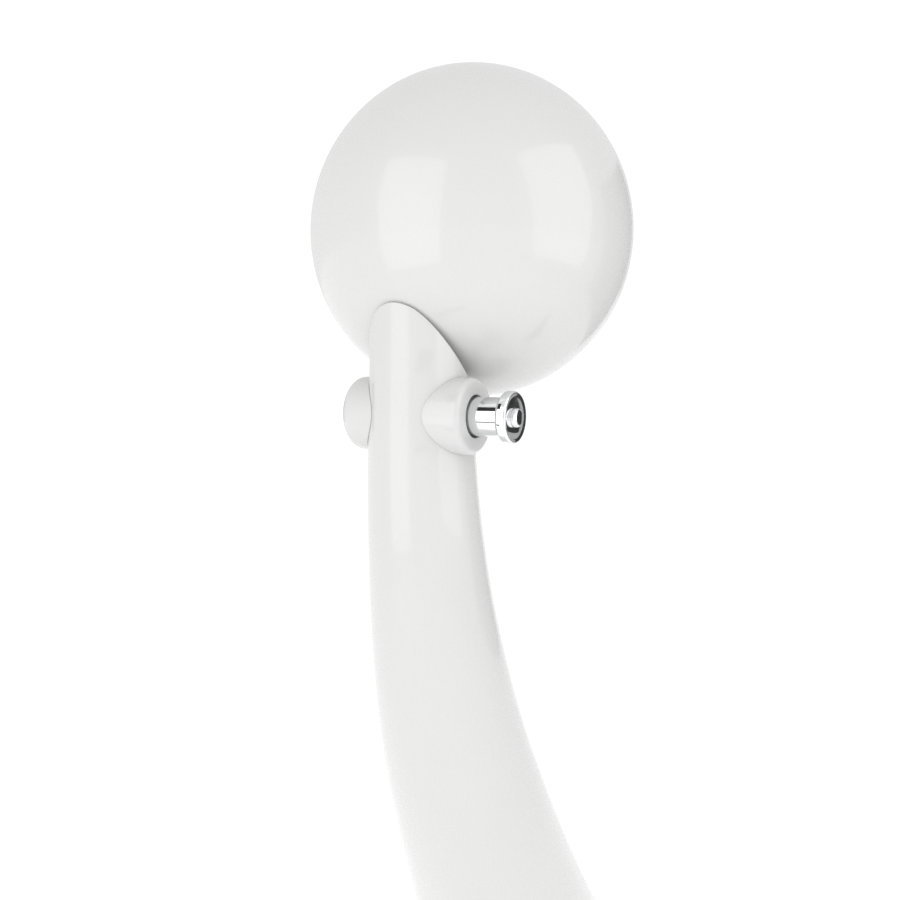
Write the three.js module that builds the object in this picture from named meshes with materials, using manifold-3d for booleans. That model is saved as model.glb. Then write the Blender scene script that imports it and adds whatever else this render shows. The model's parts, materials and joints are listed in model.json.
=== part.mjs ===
// Arc floor lamp: a horn-shaped arm on a weighted round base, a ball head nesting in the arm's mouth,
// and a cross pivot with a clamp knob that holds the head's tilt.
// Millimetres, +Z up, origin at the centre of the base's underside, head to the rear (-X) of the base
// and shining forward (+X). The tilt axis runs across the lamp along Y, knob on the right (-Y).

import * as THREE from 'three';
import { mergeVertices } from 'three/addons/utils/BufferGeometryUtils.js';
import Module from 'manifold-3d';

const wasm = await Module();
wasm.setup();

// ---------------------------------------------------------------- driving dimensions

const fit = 0.3; // air left between pieces that touch
const weld = 1e-4; // corners closer than this are one corner

// ball head
const ballRadius = 150;
const ballWall = 2.5;
const ballGap = 39.34; // tilt axis to the ball's skin
const ballLean = THREE.MathUtils.degToRad(31.17); // the ball's centre stands forward of straight up
const openingDepth = 0.64 * ballRadius; // ball centre to the plane of the front opening
const maxTilt = THREE.MathUtils.degToRad(40);

// arm
const armWall = 3.5;
const neckForward = 7.9; // the neck's centreline stands this far ahead of the tilt axis
const halfWidthAtPivot = 45;
const neckSlope = 0.02; // growth of the half width per mm along the neck
const armSlope = 0.085; // the same along the arm
const flareStart = -60; // the slope grows between these two stations, counted from the tilt axis
const flareEnd = 200;
const ovalDepth = 1.06; // fore-and-aft depth over width
const upperArcRadius = 900;
const upperArcAngle = THREE.MathUtils.degToRad(24);
const lowerArcRadius = 2400;
const lowerArcAngle = THREE.MathUtils.degToRad(16);

// mouth of the neck
const mouthRadius = 326; // the mouth is cut by a large round face lying across the lamp
const mouthForward = 241;
const mouthUp = 264;
const ballClearance = 2;

// pivot
const bossRadius = 32.3;
const bossReach = 57.9; // arc plane to boss face
const bossSpigotRadius = 26;
const bossBoreRadius = 17.9;
const bossEdge = 3.5;
const hubRadius = 20;
const hubHalfWidth = 27;
const washerThickness = 2;
const frictionWasherRadius = 24;
const studRadius = 5;
const barrelRadius = 16.25;
const knobRadius = 21.5;
const knobBack = 84; // arc plane to the back of the knob's flange
const knobFace = 93.9;
const knobCapRadius = 7.7;
const knobCapReach = 97.3;
const endCapRadius = 16;
const endCapReach = 63.9;
const endCapShankRadius = 12;

// hub stalk and the plate that clamps the ball to it
const stalkRadius = 15;
const hubFlangeRadius = 28;
const hubFlangeThickness = 6;
const backingPlateDepth = 47; // tilt axis to the plate's flat side
const hubScrewRadius = 2.4;
const hubScrewAlong = 18;
const hubScrewAcross = 10;
const leadOffset = 12; // the lead's bore runs beside the stud
const leadRadius = 2.9;
const leadBoreRadius = 3.8;

// lamp unit inside the ball, stations counted forward from the ball's centre
const bracketStation = -99.2;
const bracketThickness = 2.5;
const bracketWidth = 28;
const holderRadius = 20;
const holderRear = -97.6;
const reflectorSeat = -47.4;
const reflectorSetback = 12; // front opening's plane to the reflector's rim
const reflectorMargin = 9.2; // front opening's edge to the reflector's rim
const reflectorWall = 1.2;
const bulbRadius = 30;
const bulbFront = 45;

// base
const baseRadius = 225;
const baseTop = 30;
const coverWall = 2.5;
const coverEdge = 8;
const weightRadius = 220;
const weightRim = 20;
const weightThickness = 14;
const wiringHoleRadius = 60;
const bottomPlateThickness = 1.5;
const floorPadHeight = 2.9;
const floorPadRadius = 200;
const coverLip = 3;
const footFlangeThickness = 8;
const footBoltAlong = 110;
const footBoltAcross = 60;
const footBoltRadius = 4;
const plateScrewCircle = 210;
const plateScrewRadius = 2.4;

// foot switch and cable inlet
const switchForward = 92;
const switchRight = 160;
const switchRadius = 13.7;
const switchFlangeRadius = 17.5;
const buttonRadius = 10.6;
const buttonTop = 38.6;
const glandHeight = 12.5;
const glandRadius = 8;
const glandShankRadius = 5;
const glandBoreRadius = 3.3;

// roundness
const ballSegments = 36;
const ballArcSteps = 11;
const armSegments = 24;
const armRings = 18;
const bigRoundSegments = 36;
const turnedSegments = 20;
const smallSegments = 8;

// ---------------------------------------------------------------- finishes

const finishes = {
  lacquer: { color: 0xf1f1ee, roughness: 0.12, metalness: 0 },
  chrome: { color: 0xd8dadc, roughness: 0.06, metalness: 1 },
  steel: { color: 0x9b9ea1, roughness: 0.4, metalness: 1 },
  castIron: { color: 0x3b3c3e, roughness: 0.75, metalness: 0.6 },
  aluminium: { color: 0xc9cbcd, roughness: 0.3, metalness: 1 },
  fibre: { color: 0x7a3b22, roughness: 0.85, metalness: 0 },
  rubber: { color: 0x1b1b1c, roughness: 0.9, metalness: 0 },
  bakelite: { color: 0x1e1a18, roughness: 0.35, metalness: 0 },
  ceramic: { color: 0xeceae2, roughness: 0.3, metalness: 0 },
  opalGlass: { color: 0xf7f5ee, roughness: 0.2, metalness: 0 },
  lead: { color: 0xe2e0da, roughness: 0.6, metalness: 0 },
};

// ---------------------------------------------------------------- solid helpers

function closedSurface(geometry) {
  // Keeps positions only, joins equal corners, drops collapsed triangles and turns the faces outward.
  const bare = new THREE.BufferGeometry();
  bare.setAttribute('position', geometry.getAttribute('position').clone());
  if (geometry.index) {
    bare.setIndex(geometry.index.clone());
  }
  const welded = mergeVertices(bare, weld);
  const corners = welded.getAttribute('position');
  const source = welded.index.array;
  const kept = [];
  let sixVolumes = 0;
  const a = new THREE.Vector3();
  const b = new THREE.Vector3();
  const c = new THREE.Vector3();
  for (let i = 0; i < source.length; i += 3) {
    const [p, q, r] = [source[i], source[i + 1], source[i + 2]];
    if (p !== q && q !== r && r !== p) {
      kept.push(p, q, r);
      a.fromBufferAttribute(corners, p);
      b.fromBufferAttribute(corners, q);
      c.fromBufferAttribute(corners, r);
      sixVolumes += a.dot(b.cross(c));
    }
  }
  if (sixVolumes < 0) {
    kept.reverse();
  }
  welded.setIndex(kept);
  return welded;
}

function solidOf(geometry) {
  const surface = closedSurface(geometry);
  const mesh = new wasm.Mesh({
    numProp: 3,
    vertProperties: new Float32Array(surface.getAttribute('position').array),
    triVerts: new Uint32Array(surface.index.array),
  });
  return new wasm.Manifold(mesh);
}

function geometryOf(solid) {
  const mesh = solid.getMesh();
  const geometry = new THREE.BufferGeometry();
  geometry.setAttribute('position', new THREE.BufferAttribute(new Float32Array(mesh.vertProperties), 3));
  geometry.setIndex(new THREE.BufferAttribute(new Uint32Array(mesh.triVerts), 1));
  return geometry;
}

function cutAway(solid, cutters) {
  let result = solid;
  for (const cutter of cutters) {
    result = result.subtract(cutter);
  }
  return result;
}

function turned(profile, segments, place) {
  // profile: [radius, station] pairs, either closed round or starting and ending on the axis
  const first = profile[0];
  const last = profile[profile.length - 1];
  const open = first[0] > 0 || last[0] > 0;
  const corners = open ? [...profile, first] : profile;
  const points = corners.map(([radius, station]) => new THREE.Vector2(radius, station));
  const geometry = new THREE.LatheGeometry(points, segments);
  geometry.rotateX(Math.PI / 2);
  geometry.applyMatrix4(place);
  return solidOf(geometry);
}

function rod(radius, start, end, segments, place) {
  return turned([[0, start], [radius, start], [radius, end], [0, end]], segments, place);
}

function tube(inner, outer, start, end, segments, place) {
  return turned([[inner, start], [outer, start], [outer, end], [inner, end]], segments, place);
}

function ball(radius, centre) {
  const geometry = new THREE.SphereGeometry(radius, 2 * ballSegments, ballSegments);
  geometry.translate(centre.x, centre.y, centre.z);
  return solidOf(geometry);
}

function block(minimum, maximum) {
  const size = new THREE.Vector3().subVectors(maximum, minimum);
  const centre = new THREE.Vector3().addVectors(minimum, maximum).multiplyScalar(0.5);
  const geometry = new THREE.BoxGeometry(size.x, size.y, size.z);
  geometry.translate(centre.x, centre.y, centre.z);
  return solidOf(geometry);
}

function wire(points, radius, steps) {
  const outline = new THREE.Shape();
  outline.absarc(0, 0, radius, 0, 2 * Math.PI, false);
  const path = new THREE.CatmullRomCurve3(points, false, 'centripetal');
  const settings = { steps, extrudePath: path, curveSegments: 3 };
  return solidOf(new THREE.ExtrudeGeometry(outline, settings));
}

function arcPoints(centre, radius, fromAngle, toAngle, steps) {
  // [radius, station] pairs round a quarter or any arc, for profiles
  const points = [];
  for (let i = 0; i <= steps; i += 1) {
    const angle = fromAngle + (toAngle - fromAngle) * (i / steps);
    points.push([centre[0] + radius * Math.cos(angle), centre[1] + radius * Math.sin(angle)]);
  }
  return points;
}

// ---------------------------------------------------------------- the arm's centreline and width

const upperArcLength = upperArcRadius * upperArcAngle;
const armLength = upperArcLength + lowerArcRadius * lowerArcAngle;

function armStation(s) {
  // s runs down the arm from the height of the tilt axis; x and z are counted from that axis
  if (s <= 0) {
    return { x: neckForward, z: -s, angle: 0 };
  }
  if (s <= upperArcLength) {
    const angle = s / upperArcRadius;
    const x = neckForward + upperArcRadius * (1 - Math.cos(angle));
    return { x, z: -upperArcRadius * Math.sin(angle), angle };
  }
  const joint = armStation(upperArcLength);
  const angle = joint.angle + (s - upperArcLength) / lowerArcRadius;
  const x = joint.x + lowerArcRadius * (Math.cos(joint.angle) - Math.cos(angle));
  const z = joint.z - lowerArcRadius * (Math.sin(angle) - Math.sin(joint.angle));
  return { x, z, angle };
}

function armHalfWidth(s) {
  // the slope is constant above flareStart and below flareEnd and grows evenly between them
  const growth = (armSlope - neckSlope) / (flareEnd - flareStart);
  const middle = THREE.MathUtils.clamp(s, flareStart, flareEnd);
  const atStart = halfWidthAtPivot + neckSlope * flareStart - (growth * flareStart * flareStart) / 2;
  const along = middle - flareStart;
  const inFlare = atStart + neckSlope * along + (growth * along * along) / 2;
  const above = Math.min(s - flareStart, 0) * neckSlope;
  const below = Math.max(s - flareEnd, 0) * armSlope;
  return inFlare + above + below;
}

const ballDistance = ballRadius + ballGap;
const ballForward = ballDistance * Math.sin(ballLean);
const ballUp = ballDistance * Math.cos(ballLean);
const openingRadius = Math.sqrt(ballRadius ** 2 - openingDepth ** 2);
const footStation = armStation(armLength);
const pivot = new THREE.Vector3(-footStation.x, 0, baseTop + fit - footStation.z);
const ballCentre = new THREE.Vector3(pivot.x + ballForward, 0, pivot.z + ballUp);

function horn(growth, from, to) {
  // closed tapered solid round the arm's centreline, its skin moved out by growth
  const corners = [];
  const faces = [];
  for (let ring = 0; ring <= armRings; ring += 1) {
    const s = from + ((to - from) * ring) / armRings;
    const { x, z, angle } = armStation(s);
    const across = armHalfWidth(s) + growth;
    const deep = armHalfWidth(s) * ovalDepth + growth;
    for (let i = 0; i < armSegments; i += 1) {
      const turn = (2 * Math.PI * i) / armSegments;
      const out = deep * Math.cos(turn);
      const cornerX = pivot.x + x + out * Math.cos(angle);
      const cornerZ = pivot.z + z + out * Math.sin(angle);
      corners.push(cornerX, across * Math.sin(turn), cornerZ);
    }
  }
  const cornerOf = (ring, i) => ring * armSegments + (i % armSegments);
  for (let ring = 0; ring < armRings; ring += 1) {
    for (let i = 0; i < armSegments; i += 1) {
      faces.push(cornerOf(ring, i), cornerOf(ring + 1, i), cornerOf(ring + 1, i + 1));
      faces.push(cornerOf(ring, i), cornerOf(ring + 1, i + 1), cornerOf(ring, i + 1));
    }
  }
  for (let i = 1; i < armSegments - 1; i += 1) {
    faces.push(cornerOf(0, 0), cornerOf(0, i), cornerOf(0, i + 1));
    faces.push(cornerOf(armRings, 0), cornerOf(armRings, i + 1), cornerOf(armRings, i));
  }
  const geometry = new THREE.BufferGeometry();
  geometry.setAttribute('position', new THREE.Float32BufferAttribute(corners, 3));
  geometry.setIndex(faces);
  return solidOf(geometry);
}

// ---------------------------------------------------------------- places

function placeAlong(direction, side, origin) {
  // turned work's own axis laid along direction, its own x along side
  const across = new THREE.Vector3().crossVectors(direction, side);
  return new THREE.Matrix4().makeBasis(side, across, direction).setPosition(origin);
}

const forward = new THREE.Vector3(1, 0, 0);
const left = new THREE.Vector3(0, 1, 0);
const right = new THREE.Vector3(0, -1, 0);
const upright = new THREE.Vector3(0, 0, 1);
const down = new THREE.Vector3(0, 0, -1);

const leftAxis = placeAlong(left, forward, pivot);
const rightAxis = placeAlong(right, forward, pivot);
const headAxis = placeAlong(forward, upright, ballCentre);
const standing = placeAlong(upright, forward, new THREE.Vector3(0, 0, 0));

const stalkDirection = new THREE.Vector3(Math.sin(ballLean), 0, Math.cos(ballLean));
const stalkRear = new THREE.Vector3(-stalkDirection.z, 0, stalkDirection.x);

function fromPivot(rear, across, along) {
  // a point given along the hub's stalk, toward its rear side and across the lamp
  const point = pivot.clone();
  point.addScaledVector(stalkRear, rear);
  point.addScaledVector(left, across);
  point.addScaledVector(stalkDirection, along);
  return point;
}

function stalkAxis(rear, across) {
  return placeAlong(stalkDirection, stalkRear, fromPivot(rear, across, 0));
}

function uprightAt(x, y) {
  return placeAlong(upright, forward, new THREE.Vector3(x, y, 0));
}

const pieces = [];

function addPiece(name, solid, finish) {
  pieces.push({ name, solid, finish });
}

// ---------------------------------------------------------------- arm with its mouth and two bosses

const neckTop = -130; // above the mouth's highest point
const footOverrun = 130; // below the foot plane, so the slanting foot is whole
const aboveArm = 20;

function mouthFace() {
  const origin = new THREE.Vector3(pivot.x + mouthForward, 0, pivot.z + mouthUp);
  const place = placeAlong(left, forward, origin);
  return rod(mouthRadius, -2 * bossReach, 2 * bossReach, 4 * ballSegments, place);
}

function tiltedBallCentre(tilt) {
  const x = ballForward * Math.cos(tilt) + ballUp * Math.sin(tilt);
  const z = ballUp * Math.cos(tilt) - ballForward * Math.sin(tilt);
  return new THREE.Vector3(pivot.x + x, 0, pivot.z + z);
}

function sweptBalls() {
  const stops = 5;
  const balls = [];
  for (let i = 0; i <= stops; i += 1) {
    balls.push(ball(ballRadius + ballClearance, tiltedBallCentre((maxTilt * i) / stops)));
  }
  return balls;
}

const belowFoot = block(
  new THREE.Vector3(-2 * baseRadius, -2 * baseRadius, -baseRadius),
  new THREE.Vector3(2 * baseRadius, 2 * baseRadius, baseTop + fit),
);

const armOutside = horn(0, neckTop, armLength + footOverrun);
const armInside = horn(-armWall, neckTop - aboveArm, armLength + footOverrun + aboveArm);
const spigotBore = rod(bossSpigotRadius + fit, -2 * bossReach, 2 * bossReach, turnedSegments, leftAxis);

const armCutters = [armInside, belowFoot, mouthFace(), ...sweptBalls(), spigotBore];
const armWhole = cutAway(armOutside, armCutters);

function halfSpace(side) {
  // everything on one side of the arc plane, half the bond line away from it
  const near = (side * fit) / 2;
  const far = side * 2 * baseRadius;
  const reach = 4 * upperArcRadius;
  return block(
    new THREE.Vector3(-reach, Math.min(near, far), -baseRadius),
    new THREE.Vector3(reach, Math.max(near, far), reach),
  );
}

// the arm is moulded as two half shells bonded along the arc plane
addPiece('arm_shell_left', armWhole.intersect(halfSpace(1)), finishes.lacquer);
addPiece('arm_shell_right', armWhole.intersect(halfSpace(-1)), finishes.lacquer);

const hubSide = hubHalfWidth + fit;
const washerOuter = hubSide + washerThickness;
const bossInner = washerOuter + fit;

function boss(place, boreRadius) {
  // the collar outside the neck and the spigot through its wall are one turned piece
  const rounded = arcPoints([bossRadius - bossEdge, bossReach - bossEdge], bossEdge, 0, Math.PI / 2, 4);
  const collar = turned([[boreRadius, bossInner], [bossRadius, bossInner], ...rounded,
    [boreRadius, bossReach]], turnedSegments, place);
  const armSkin = horn(fit, neckTop, upperArcLength);
  const spigot = tube(boreRadius, bossSpigotRadius, bossInner, bossReach - bossEdge, turnedSegments, place);
  return collar.subtract(armSkin).add(spigot);
}

addPiece('right_boss', boss(rightAxis, bossBoreRadius), finishes.lacquer);
addPiece('left_boss', boss(leftAxis, endCapShankRadius + fit), finishes.lacquer);

// ---------------------------------------------------------------- clamp on the tilt axis

const studBore = studRadius + fit;
const capSeat = bossReach + fit;
const capShankInner = bossInner + 10;
const capBoreEnd = bossReach - 1.5;
const studLeftEnd = capBoreEnd - fit;
const knobCapSeat = knobFace - 4.9;
const studRightEnd = knobCapSeat - fit;

const studAxis = rod(studRadius, -studRightEnd, studLeftEnd, turnedSegments, leftAxis);
addPiece('pivot_stud', studAxis, finishes.steel);

const capDomeRadius = (endCapRadius ** 2 + (endCapReach - capSeat - 1) ** 2) / (2 * (endCapReach - capSeat - 1));
const capDomeAngle = Math.asin(endCapRadius / capDomeRadius);
const capDome = arcPoints([0, endCapReach - capDomeRadius], capDomeRadius, Math.PI / 2 - capDomeAngle,
  Math.PI / 2, 5);
const endCap = turned([[0, capBoreEnd], [studBore, capBoreEnd], [studBore, capShankInner],
  [endCapShankRadius, capShankInner], [endCapShankRadius, capSeat], [endCapRadius, capSeat],
  ...capDome.slice(0, -1), [0, endCapReach]], turnedSegments, leftAxis);
addPiece('left_end_cap', endCap, finishes.chrome);

const washerBore = studRadius + 2 * fit;
const frictionWasher = (place) => tube(washerBore, frictionWasherRadius, hubSide, washerOuter,
  turnedSegments, place);
addPiece('left_friction_washer', frictionWasher(leftAxis), finishes.fibre);
addPiece('right_friction_washer', frictionWasher(rightAxis), finishes.fibre);

const thrustOuter = bossInner + washerThickness;
const thrustWasher = tube(washerBore, bossBoreRadius - 3 * fit, bossInner, thrustOuter,
  turnedSegments, rightAxis);
addPiece('thrust_washer', thrustWasher, finishes.steel);

const barrelInner = thrustOuter + fit;
const knobBevel = 2.5;
const knobFaceDish = 1;
const knobCapBore = knobCapRadius + fit;
const clampKnob = turned([
  [studBore, barrelInner],
  [barrelRadius, barrelInner],
  [barrelRadius, knobBack],
  [knobRadius - knobBevel, knobBack],
  [knobRadius, knobBack + knobBevel],
  [knobRadius, knobFace - 1.5],
  [knobRadius - 1.5, knobFace],
  [knobRadius - 4, knobFace - knobFaceDish],
  [knobCapBore, knobFace - knobFaceDish],
  [knobCapBore, knobCapSeat],
  [studBore, knobCapSeat],
], turnedSegments, rightAxis);
addPiece('clamp_knob', clampKnob, finishes.chrome);

const capEdge = 2;
const knobCapRound = arcPoints([knobCapRadius - capEdge, knobCapReach - capEdge], capEdge, 0, Math.PI / 2, 4);
const knobCap = turned([[0, knobCapSeat + fit], [knobCapRadius, knobCapSeat + fit], ...knobCapRound,
  [0, knobCapReach]], turnedSegments, rightAxis);
addPiece('knob_cap', knobCap, finishes.chrome);

// ---------------------------------------------------------------- hub, ball shell and clamping plate

const hubFlangeBack = ballDistance - ballRadius - hubFlangeThickness;
const screwPlaces = [[1, 1], [1, -1], [-1, 1], [-1, -1]].map(([along, across]) =>
  stalkAxis(along * hubScrewAlong, across * hubScrewAcross));
const screwHoles = screwPlaces.map((place) =>
  rod(hubScrewRadius + fit, hubFlangeBack - 2, backingPlateDepth + 10, smallSegments, place));
const leadBore = rod(leadBoreRadius, -2 * hubRadius, backingPlateDepth + 10, smallSegments,
  stalkAxis(leadOffset, 0));
const ballStep = (Math.PI / 2 + Math.asin(openingDepth / ballRadius)) / ballArcSteps;
const ballSag = ballRadius * (2 - Math.cos(ballStep / 2) - Math.cos(Math.PI / ballSegments));
const ballSkin = ball(ballRadius + fit, ballCentre);
const ballHollow = ball(ballRadius - ballWall - ballSag - fit, ballCentre);

const hubBarrel = rod(hubRadius, -hubHalfWidth, hubHalfWidth, turnedSegments, leftAxis);
const stalk = rod(stalkRadius, 0, hubFlangeBack + 1, turnedSegments, stalkAxis(0, 0));
const hubFlange = rod(hubFlangeRadius, hubFlangeBack, backingPlateDepth, turnedSegments, stalkAxis(0, 0));
const hubStudBore = rod(studBore, -2 * hubHalfWidth, 2 * hubHalfWidth, turnedSegments, leftAxis);
const hubBody = hubBarrel.add(stalk).add(hubFlange);
const tiltHub = cutAway(hubBody, [ballSkin, hubStudBore, leadBore, ...screwHoles]);
addPiece('tilt_hub', tiltHub, finishes.aluminium);

function ballArc(radius, steps) {
  // from the pole at the rear to the edge of the front opening
  const edge = Math.asin(openingDepth / radius);
  return arcPoints([0, 0], radius, -Math.PI / 2, edge, steps);
}

const outsideArc = ballArc(ballRadius, ballArcSteps);
const insideArc = ballArc(ballRadius - ballWall, ballArcSteps).reverse();
outsideArc[0][0] = 0;
insideArc[insideArc.length - 1][0] = 0;
const fullBall = turned([...outsideArc, ...insideArc], ballSegments, headAxis);
addPiece('head_shell', cutAway(fullBall, [leadBore, ...screwHoles]), finishes.lacquer);

const plateBlank = rod(hubFlangeRadius, hubFlangeBack, backingPlateDepth, turnedSegments, stalkAxis(0, 0));
const backingPlate = cutAway(plateBlank.intersect(ballHollow), [leadBore, ...screwHoles]);
addPiece('hub_backing_plate', backingPlate, finishes.steel);

const bracketBack = backingPlateDepth + fit;
const bracketFront = bracketBack + bracketThickness;

function holderBracket() {
  // an L of strip steel: the foot lies on the backing plate, the upright stands behind the lamp holder
  const footEnd = hubFlangeRadius;
  const uprightX = ballCentre.x + bracketStation - bracketThickness / 2;
  const uprightFrontX = uprightX + bracketThickness;
  const uprightTop = ballCentre.z + holderRadius - 2;
  const alongFoot = (x, along) => {
    const start = fromPivot(0, 0, along);
    const rear = (x - start.x) / stalkRear.x;
    return fromPivot(rear, 0, along);
  };
  const outline = [
    fromPivot(-footEnd, 0, bracketBack),
    alongFoot(uprightX, bracketBack),
    new THREE.Vector3(uprightX, 0, uprightTop),
    new THREE.Vector3(uprightFrontX, 0, uprightTop),
    alongFoot(uprightFrontX, bracketFront),
    fromPivot(-footEnd, 0, bracketFront),
  ];
  const shape = new THREE.Shape(outline.map((point) => new THREE.Vector2(point.x, point.z)));
  const strip = new THREE.ExtrudeGeometry(shape, { depth: bracketWidth, bevelEnabled: false, steps: 1 });
  strip.rotateX(Math.PI / 2);
  strip.translate(0, bracketWidth / 2, 0);
  const boltHole = rod(studBore, bracketStation - 10, bracketStation + 10, smallSegments, headAxis);
  return cutAway(solidOf(strip), [leadBore, boltHole, ...screwHoles]);
}

addPiece('holder_bracket', holderBracket(), finishes.steel);

screwPlaces.forEach((place, index) => {
  const seat = bracketFront + fit;
  const screw = turned([[0, hubFlangeBack + 1], [hubScrewRadius, hubFlangeBack + 1], [hubScrewRadius, seat],
    [4.4, seat], [4.4, seat + 2], [3, seat + 3.2], [0, seat + 3.2]], smallSegments, place);
  addPiece(`hub_screw_${index + 1}`, screw, finishes.steel);
});

// ---------------------------------------------------------------- lamp unit inside the ball

const boltHeadRear = bracketStation - bracketThickness / 2 - fit;
const boltShankEnd = holderRear + 12;
const boltHead = rod(8, boltHeadRear - 5, boltHeadRear, 6, headAxis);
const boltShank = rod(studRadius, boltHeadRear - 1, boltShankEnd, smallSegments, headAxis);
addPiece('holder_bolt', boltHead.add(boltShank), finishes.steel);

const holderShoulder = reflectorSeat - fit;
const holderSkirt = holderRadius - 0.5;
const holderMouth = -36;
const socketRadius = 14.3;
const lampHolder = turned([
  [studBore, holderRear],
  [14, holderRear],
  [holderRadius, holderRear + 9],
  [holderRadius, holderShoulder - 2.5],
  [holderRadius + 4.5, holderShoulder - 2.5],
  [holderRadius + 4.5, holderShoulder],
  [holderSkirt, holderShoulder],
  [holderSkirt, holderMouth],
  [socketRadius, holderMouth],
  [socketRadius, -70.5],
  [3, -70.5],
  [3, boltShankEnd + fit],
  [studBore, boltShankEnd + fit],
], turnedSegments, headAxis);
addPiece('lamp_holder', lampHolder, finishes.bakelite);

const shadeRingBack = reflectorSeat + reflectorWall + fit;
const shadeRing = tube(holderSkirt + fit, 27, shadeRingBack, shadeRingBack + 6, turnedSegments, headAxis);
addPiece('shade_ring', shadeRing, finishes.bakelite);

function reflectorProfile() {
  // a flat seat round the holder, then a bowl whose depth grows with the 1.8th power of the radius
  const seatRadius = 34;
  const reflectorFront = openingDepth - reflectorSetback;
  const reflectorFrontRadius = openingRadius - reflectorMargin;
  const steps = 6;
  const front = [];
  const back = [];
  for (let i = 0; i <= steps; i += 1) {
    const share = i / steps;
    const radius = seatRadius + (reflectorFrontRadius - seatRadius) * share;
    const rise = (reflectorFront - reflectorSeat - reflectorWall) * share ** 1.8;
    front.push([radius - reflectorWall * share, reflectorSeat + reflectorWall + rise]);
    back.push([radius, reflectorSeat + rise]);
  }
  const hole = holderSkirt + fit;
  const frontRim = front[front.length - 1];
  back[back.length - 1] = [reflectorFrontRadius, frontRim[1]];
  return [[hole, reflectorSeat], ...back, ...front.reverse(), [hole, reflectorSeat + reflectorWall]];
}

addPiece('inner_reflector', turned(reflectorProfile(), armSegments, headAxis), finishes.aluminium);

const ringBack = openingDepth + fit;
const skirtOuter = Math.sqrt((ballRadius - ballWall) ** 2 - openingDepth ** 2) - 1.5;
const rimRing = turned([
  [skirtOuter - 2, openingDepth - 14],
  [skirtOuter, openingDepth - 14],
  [skirtOuter, ringBack],
  [openingRadius + 1, ringBack],
  [openingRadius + 1, ringBack + 1.2],
  [openingRadius - 0.5, ringBack + 2.5],
  [openingRadius - 14, ringBack + 2.5],
  [openingRadius - 15.5, ringBack + 1],
  [openingRadius - 15.5, ringBack - 0.8],
  [skirtOuter - 2, ringBack - 0.8],
], ballSegments, headAxis);
addPiece('rim_ring', rimRing, finishes.lacquer);

const capRadius = 13.3;
const capFront = -38;
const bulbCap = turned([[0, -69.8], [4.5, -69.8], [6, -67], [capRadius, -62], [capRadius, capFront],
  [capRadius - 0.8, capFront], [capRadius - 0.8, -60.5], [0, -60.5]], turnedSegments, headAxis);
addPiece('bulb_cap', bulbCap, finishes.aluminium);

function bulbProfile() {
  // a straight neck inside the cap, then a pear that swells to the bulb's radius and closes in a dome
  const glass = 1;
  const neck = capRadius - 0.8 - fit;
  const domeCentre = bulbFront - bulbRadius;
  const neckEnd = -34;
  const swell = [];
  const swellSteps = 4;
  for (let i = 1; i < swellSteps; i += 1) {
    const share = i / swellSteps;
    const eased = share * share * (3 - 2 * share);
    swell.push([neck + (bulbRadius - neck) * eased, neckEnd + (domeCentre - neckEnd) * share]);
  }
  const dome = (radius) => arcPoints([0, domeCentre], radius, 0, Math.PI / 2, 5).slice(0, -1);
  const outer = [[neck, -59.5], [neck, neckEnd], ...swell, ...dome(bulbRadius), [0, bulbFront]];
  const inner = [[neck - glass, -59.5], [neck - glass, neckEnd],
    ...swell.map(([radius, station]) => [radius - glass, station]),
    ...dome(bulbRadius - glass), [0, bulbFront - glass]];
  return [...inner.reverse(), ...outer];
}

addPiece('bulb_glass', turned(bulbProfile(), turnedSegments, headAxis), finishes.opalGlass);

// ---------------------------------------------------------------- base

const coverHole = wiringHoleRadius + 10;
const coverUnder = baseTop - coverWall;
const coverOuterEdge = arcPoints([baseRadius - coverEdge, baseTop - coverEdge], coverEdge, 0, Math.PI / 2, 3);
const coverInnerEdge = arcPoints([baseRadius - coverEdge, baseTop - coverEdge], coverEdge - coverWall,
  Math.PI / 2, 0, 3);
const coverBlank = turned([
  [coverHole, coverUnder],
  ...coverInnerEdge,
  [baseRadius - coverWall, coverLip],
  [baseRadius, coverLip],
  ...coverOuterEdge,
  [coverHole, baseTop],
], bigRoundSegments, standing);

const boltSpots = [];
for (const along of [-1, 1]) {
  for (const across of [-1, 1]) {
    boltSpots.push([along * footBoltAlong, across * footBoltAcross]);
  }
}
const flangeTop = baseTop + fit + footFlangeThickness;
const boltHoles = boltSpots.map(([x, y]) =>
  rod(footBoltRadius + fit, -1, flangeTop + 2 * fit + 1, smallSegments, uprightAt(x, y)));
const switchPlace = uprightAt(switchForward, -switchRight);
const glandPlace = placeAlong(new THREE.Vector3(-1, 0, 0), upright, new THREE.Vector3(0, 0, glandHeight));
const glandHole = rod(glandShankRadius + fit, baseRadius - 20, baseRadius + 10, smallSegments, glandPlace);
const switchHole = rod(switchRadius + fit, 0, baseTop + 5, turnedSegments, switchPlace);
addPiece('base_cover', cutAway(coverBlank, [glandHole, switchHole, ...boltHoles]), finishes.lacquer);

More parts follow.
